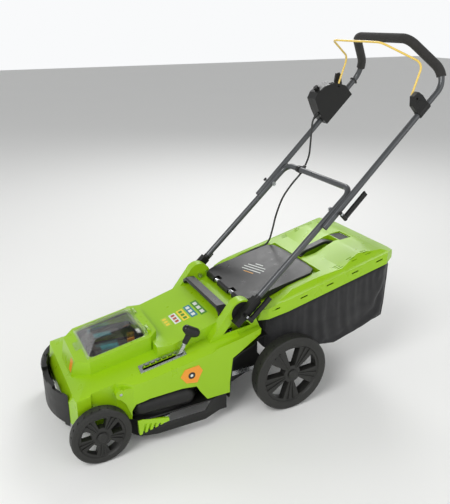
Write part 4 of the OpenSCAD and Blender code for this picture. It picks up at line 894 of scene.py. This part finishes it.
@dataclass
class Prints:
    """All printed films: plain colour fields, with no lettering and no pictograms."""

    def surface(self, node: str) -> BVHTree:
        """Tree of a CAD node as it is shown."""
        return BVHTree.FromObject(frame["nodes"][node], bpy.context.evaluated_depsgraph_get())

    def panel_fields(self) -> list[Decal]:
        """Five notice fields in a row on the hood's rear panel, each with small blocks in it."""
        wide, deep = Vector((1, 0, 0)), Vector((0, 1, 0))
        rows = (
            (-246.0, 22.0, 56.0, FILM_LIME, FILM_YELLOW),
            (-218.0, 26.0, 60.0, FILM_WHITE, FILM_RED),
            (-192.0, 27.0, 66.0, FILM_YELLOW, FILM_LEAF),
            (-166.0, 27.0, 74.0, FILM_BLUE, FILM_WHITE),
            (-139.0, 29.0, 92.0, FILM_LEAF, FILM_WHITE),
        )
        fields = []
        for number, (y, x, width, base, block) in enumerate(rows):
            place = (x, y, 420.0)
            fields.append(
                Decal(f"notice_{number}", "deck_hood", "deck", place, wide, deep, (width, 21.0), base)
            )
            for k in range(3):
                spot = (x + (k - 1) * width * 0.3, y, 420.0)
                size = (width * 0.2, 11.0)
                fields.append(
                    Decal(
                        f"notice_{number}_{k}", "deck_hood", "deck", spot, wide, deep, size, block,
                        lift_mm=0.4,
                    )
                )
        return fields

    def flap_lines(self) -> list[Decal]:
        """Block of plain bars on the flap, where care notes would stand."""
        wide, deep = Vector((0.956, 0.292, 0)), Vector((-0.292, 0.956, 0))
        lines = []
        for k, width in enumerate((34.0, 78.0, 92.0, 84.0, 44.0)):
            finish = FILM_AMBER if k == 4 else FILM_WHITE
            spot = Vector((-20.0, 86.0, 480.0)) + deep * (26.0 - 13.0 * k)
            lines.append(
                Decal(f"flap_line_{k}", "rear_flap", "flap", tuple(spot), wide, deep, (width, 3.6), finish)
            )
        return lines

    def build(self) -> None:
        """Lay all films."""
        hood = self.surface("deck_hood")
        for decal in self.panel_fields():
            decal.build(hood)
        flap = self.surface("rear_flap")
        for decal in self.flap_lines():
            decal.build(flap)
        plate = Decal(
            "nose_plate", "deck_hood", "deck", (44.0, -700.0, 222.0),
            Vector((1, 0, 0)), Vector((0, 0, 1)), (26.0, 36.0), ORANGE_FILM,
        )
        plate.build(hood)
        low, high = (Vector(v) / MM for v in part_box("badges"))
        badge = self.surface("badges")
        for side in (1, -1):
            across = Vector((0, side, 0))
            spot = (side * 300.0, (low.y + high.y) / 2, (low.z + high.z) / 2)
            discs = (("dark", 22.0, FILM_INK, 0.25), ("pale", 9.0, FILM_WHITE, 0.4))
            for name, width, finish, lift in discs:
                disc = Decal(
                    f"badge_{name}_{'left' if side > 0 else 'right'}", "badges", "deck", spot,
                    across, Vector((0, 0, 1)), (width, width), finish, disc=True, lift_mm=lift,
                )
                disc.build(badge)
        for side in (1, -1):
            name = "battery_left" if side > 0 else "battery_right"
            low, high = (Vector(v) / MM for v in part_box(name))
            spot = ((low.x + high.x) / 2, (low.y + high.y) / 2, high.z + 30)
            label = Decal(
                f"{name}_label", name, "pack_left" if side > 0 else "pack_right", spot,
                Vector((1, 0, 0)), Vector((0, 1, 0)), (26.0, 52.0), FILM_TEAL,
            )
            label.build(self.surface(name))
        LOG.info("films laid")


def dress_nodes() -> None:
    """Give every CAD node its finish."""
    for dress in Dress:
        finish, nodes = dress.value
        for name in nodes:
            mesh = frame["nodes"][name].data
            mesh.materials.clear()
            mesh.materials.append(finish.material())
    missing = set(frame["nodes"]) - {n for d in Dress for n in d.value[1]}
    for name in sorted(missing):
        LOG.info("no finish for %s", name)


# ------------------------------------------------------------------ grass bag


def turn_left(
    a: tuple[float, float], b: tuple[float, float], c: tuple[float, float]
) -> float:
    """Twice the area of a triangle, above zero when its corners turn to the left."""
    return (b[0] - a[0]) * (c[1] - a[1]) - (b[1] - a[1]) * (c[0] - a[0])


def outline_of(points: Iterable[tuple[float, float]]) -> list[tuple[float, float]]:
    """Convex outline round points in a plane.

    Args:
        points: The points.

    Returns:
        Corners of the outline, counter-clockwise.
    """
    ordered = sorted(set(points))
    halves = []
    for run in (ordered, ordered[::-1]):
        half: list[tuple[float, float]] = []
        for p in run:
            while len(half) > 1 and turn_left(half[-2], half[-1], p) <= FLAT:
                half.pop()
            half.append(p)
        halves += half[:-1]
    return halves


@dataclass
class GrassBag:
    """Mesh body of the grass bag, which hangs from the lid and sags between its bound seams.

    Fields:
        cell_mm: Size of the cloth's cells.
        frames: Frames of cloth simulation.
        cap_mm: Most that the cloth may leave its cut shape.
        slack: Share by which the cloth is cut larger than its frame.
        mouth_half: Half width of the mouth.
        mouth_low: Height of the mouth's lower edge.
        mouth_high: Height of the mouth's upper edge.
        lid_side: Direction that the open top faces, square to the leaning rim.
        tape_radius: Half thickness of the binding tape.
        cloth_thick: Thickness of the mesh.
    """

    cell_mm: float = 7.5
    frames: int = 26
    cap_mm: float = 8.0
    slack: float = 0.035
    mouth_half: float = 0.122
    mouth_low: float = 0.199
    mouth_high: float = 0.289
    lid_side: Vector = field(default_factory=lambda: Vector((0.0, -0.229, 0.973)))
    tape_radius: float = 0.0024
    cloth_thick: float = 0.0008
    low: Vector = field(init=False)
    high: Vector = field(init=False)

    def __post_init__(self) -> None:
        """Read the CAD solid's corners."""
        self.low, self.high = (Vector(v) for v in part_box("bag_fabric"))

    def cut_shape(self) -> bpy.types.Object:
        """Lay the cloth on the CAD solid's outer form, open at the top and at the mouth.

        Returns:
            The cloth before it hangs.
        """
        shape = bmesh.new()
        shape.from_mesh(frame["nodes"]["bag_fabric"].data)
        bmesh.ops.delete(shape, geom=shape.faces[:], context="FACES_KEEP_BOUNDARY")
        hull = bmesh.ops.convex_hull(shape, input=shape.verts[:])
        inside = hull["geom_interior"] + hull["geom_unused"]
        spare = {item for item in inside if isinstance(item, bmesh.types.BMVert)}
        bmesh.ops.delete(shape, geom=list(spare), context="VERTS")
        cloth = from_bmesh("bag_mesh_body", shape, BAG_MESH)
        remesh = cloth.modifiers.new("cells", "REMESH")
        remesh.mode = "VOXEL"
        remesh.voxel_size = self.cell_mm * MM
        remesh.use_smooth_shade = True
        apply_modifiers(cloth)
        self.open_up(cloth)
        return cloth

    def open_up(self, cloth: bpy.types.Object) -> None:
        """Take the top and the mouth out of the closed form.

        Args:
            cloth: The closed form.
        """
        shape = bmesh.new()
        shape.from_mesh(cloth.data)
        gone = [
            f
            for f in shape.faces
            if f.normal.dot(self.lid_side) > 0.8 or self.in_mouth(f.calc_center_median())
        ]
        bmesh.ops.delete(shape, geom=gone, context="FACES")
        shape.to_mesh(cloth.data)
        shape.free()

    def in_mouth(self, point: Vector) -> bool:
        """Tell whether a point of the front panel lies in the mouth."""
        in_front = point.y < self.low.y + 0.006
        return in_front and abs(point.x) < self.mouth_half and self.mouth_low < point.z < self.mouth_high

    def held(self, vertex: bpy.types.MeshVertex) -> float:
        """How firmly a point is held: fully at the rim, nearly so at a seam, not at all in a panel."""
        n = vertex.normal
        rim = vertex.co.z > self.rim_height(vertex.co.y) - 0.012
        panel = max(abs(n.x), abs(n.y), abs(n.z)) > 0.93
        front = vertex.co.y < self.low.y + 0.004
        return 1.0 if rim or front else (0.0 if panel else 0.85)

    def rim_height(self, y: float) -> float:
        """Height of the cloth's upper edge at a station along the bag."""
        return self.high.z - (self.high.y - y) * 0.235

    def hang(self, cloth: bpy.types.Object) -> None:
        """Let the cloth hang from its rim and seams, with a cap on how far it moves.

        Args:
            cloth: The cut cloth.
        """
        rest = [v.co.copy() for v in cloth.data.vertices]
        group = cloth.vertex_groups.new(name="held")
        for v in cloth.data.vertices:
            group.add([v.index], self.held(v), "REPLACE")
        cloth_modifier = cloth.modifiers.new("hang", "CLOTH")
        settings = cloth_modifier.settings
        settings.quality = 6
        settings.mass = 0.25
        settings.tension_stiffness = settings.compression_stiffness = 12.0
        settings.bending_stiffness = 0.25
        settings.vertex_group_mass = group.name
        settings.pin_stiffness = 1.0
        settings.shrink_min = -self.slack
        cloth_modifier.point_cache.frame_end = self.frames
        scene = bpy.context.scene
        for number in range(1, self.frames + 1):
            scene.frame_set(number)
        apply_modifiers(cloth)
        scene.frame_set(1)
        cap = self.cap_mm * MM
        for vertex, start in zip(cloth.data.vertices, rest):
            move = vertex.co - start
            if move.length > cap:
                vertex.co = start + move.normalized() * cap

    def crumple(self, cloth: bpy.types.Object) -> None:
        """Add the small folds that a packed bag keeps.

        Args:
            cloth: The hung cloth.
        """
        for vertex in cloth.data.vertices:
            if vertex.co.z > self.rim_height(vertex.co.y) - 0.01:
                continue
            place = Vector((vertex.co.x * 9, vertex.co.y * 14, vertex.co.z * 26))
            wide = noise.noise(place)
            fine = noise.noise(place * 2.7)
            vertex.co += vertex.normal * (0.0020 * wide + 0.0009 * fine)

    def seam_route(self, cloth: bpy.types.Object, side: float) -> list[Vector]:
        """Route of the bound seam between a side panel and the bottom and rear panels.

        Args:
            cloth: The hung cloth.
            side: 1 for the left side, -1 for the right.

        Returns:
            Points along the seam.
        """
        corners = outline_of((v.co.y, v.co.z) for v in frame["nodes"]["bag_fabric"].data.vertices)
        middle = Vector((sum(c[0] for c in corners), sum(c[1] for c in corners))) / len(corners)
        start = min(range(len(corners)), key=lambda k: corners[k][0] * 0.2 - corners[k][1])
        loop = corners[start:] + corners[:start]
        loop = loop[1:] + loop[:1]
        tree = BVHTree.FromObject(cloth, bpy.context.evaluated_depsgraph_get())
        route = []
        for a, b in zip(loop, loop[1:]):
            steps = max(2, int(math.dist(a, b) / 0.02))
            for k in range(steps):
                y = a[0] + (b[0] - a[0]) * k / steps
                z = a[1] + (b[1] - a[1]) * k / steps
                inward = (middle - Vector((y, z))).normalized() * 0.006
                origin = Vector((side * 0.4, y + inward[0], z + inward[1]))
                hit = tree.ray_cast(origin, Vector((-side, 0, 0)))
                if hit[0] is not None and hit[0].x * side > 0.08:
                    route.append(hit[0])
        return route

    def bind(self, cloth: bpy.types.Object) -> None:
        """Sew the binding tape along both side seams."""
        for side, name in ((1.0, "bag_binding_left"), (-1.0, "bag_binding_right")):
            route = self.seam_route(cloth, side)
            if len(route) > 4:
                tape = new_object(name, tube_mesh(name, route, self.tape_radius, 8), BINDING_TAPE)
                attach(tape, "bag")

    def build(self) -> None:
        """Make the bag's cloth and its binding."""
        cloth = self.cut_shape()
        self.hang(cloth)
        self.crumple(cloth)
        fine = cloth.modifiers.new("fine", "SUBSURF")
        fine.levels = fine.render_levels = 1
        apply_modifiers(cloth)
        self.bind(cloth)
        thick = cloth.modifiers.new("thick", "SOLIDIFY")
        thick.thickness = self.cloth_thick
        apply_modifiers(cloth)
        cloth.data.shade_smooth()
        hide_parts("bag_fabric")
        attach(cloth, "bag")
        LOG.info("bag cloth: %d faces", len(cloth.data.polygons))


# ------------------------------------------------------------------ build


def main() -> None:
    """Build the mower's looks."""
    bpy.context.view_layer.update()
    Studio().build()
    SwitchCable().build()
    dress_nodes()
    for moulding in (
        Moulding("deck_hood", 2.2, 3),
        Moulding("front_bumper", 2.0),
        Moulding("rear_flap", 2.5, 3),
        Moulding("bag_lid", 2.0, 3),
        Moulding("carry_handle", 1.5),
        Moulding("cutting_deck", 1.5),
        Moulding("lever_knob", 1.0),
        Moulding("bag_handle", 2.5, 3),
        Moulding("switch_box", 2.0, 3),
        Moulding("switch_cover", 2.0, 3),
        Moulding("bail_bracket", 1.5),
        Moulding("tube_sockets", 0.8),
        Moulding("edge_combs", 0.8),
    ):
        moulding.build()
    GrassBag().build()
    Prints().build()


if __name__ == "__main__":
    main()
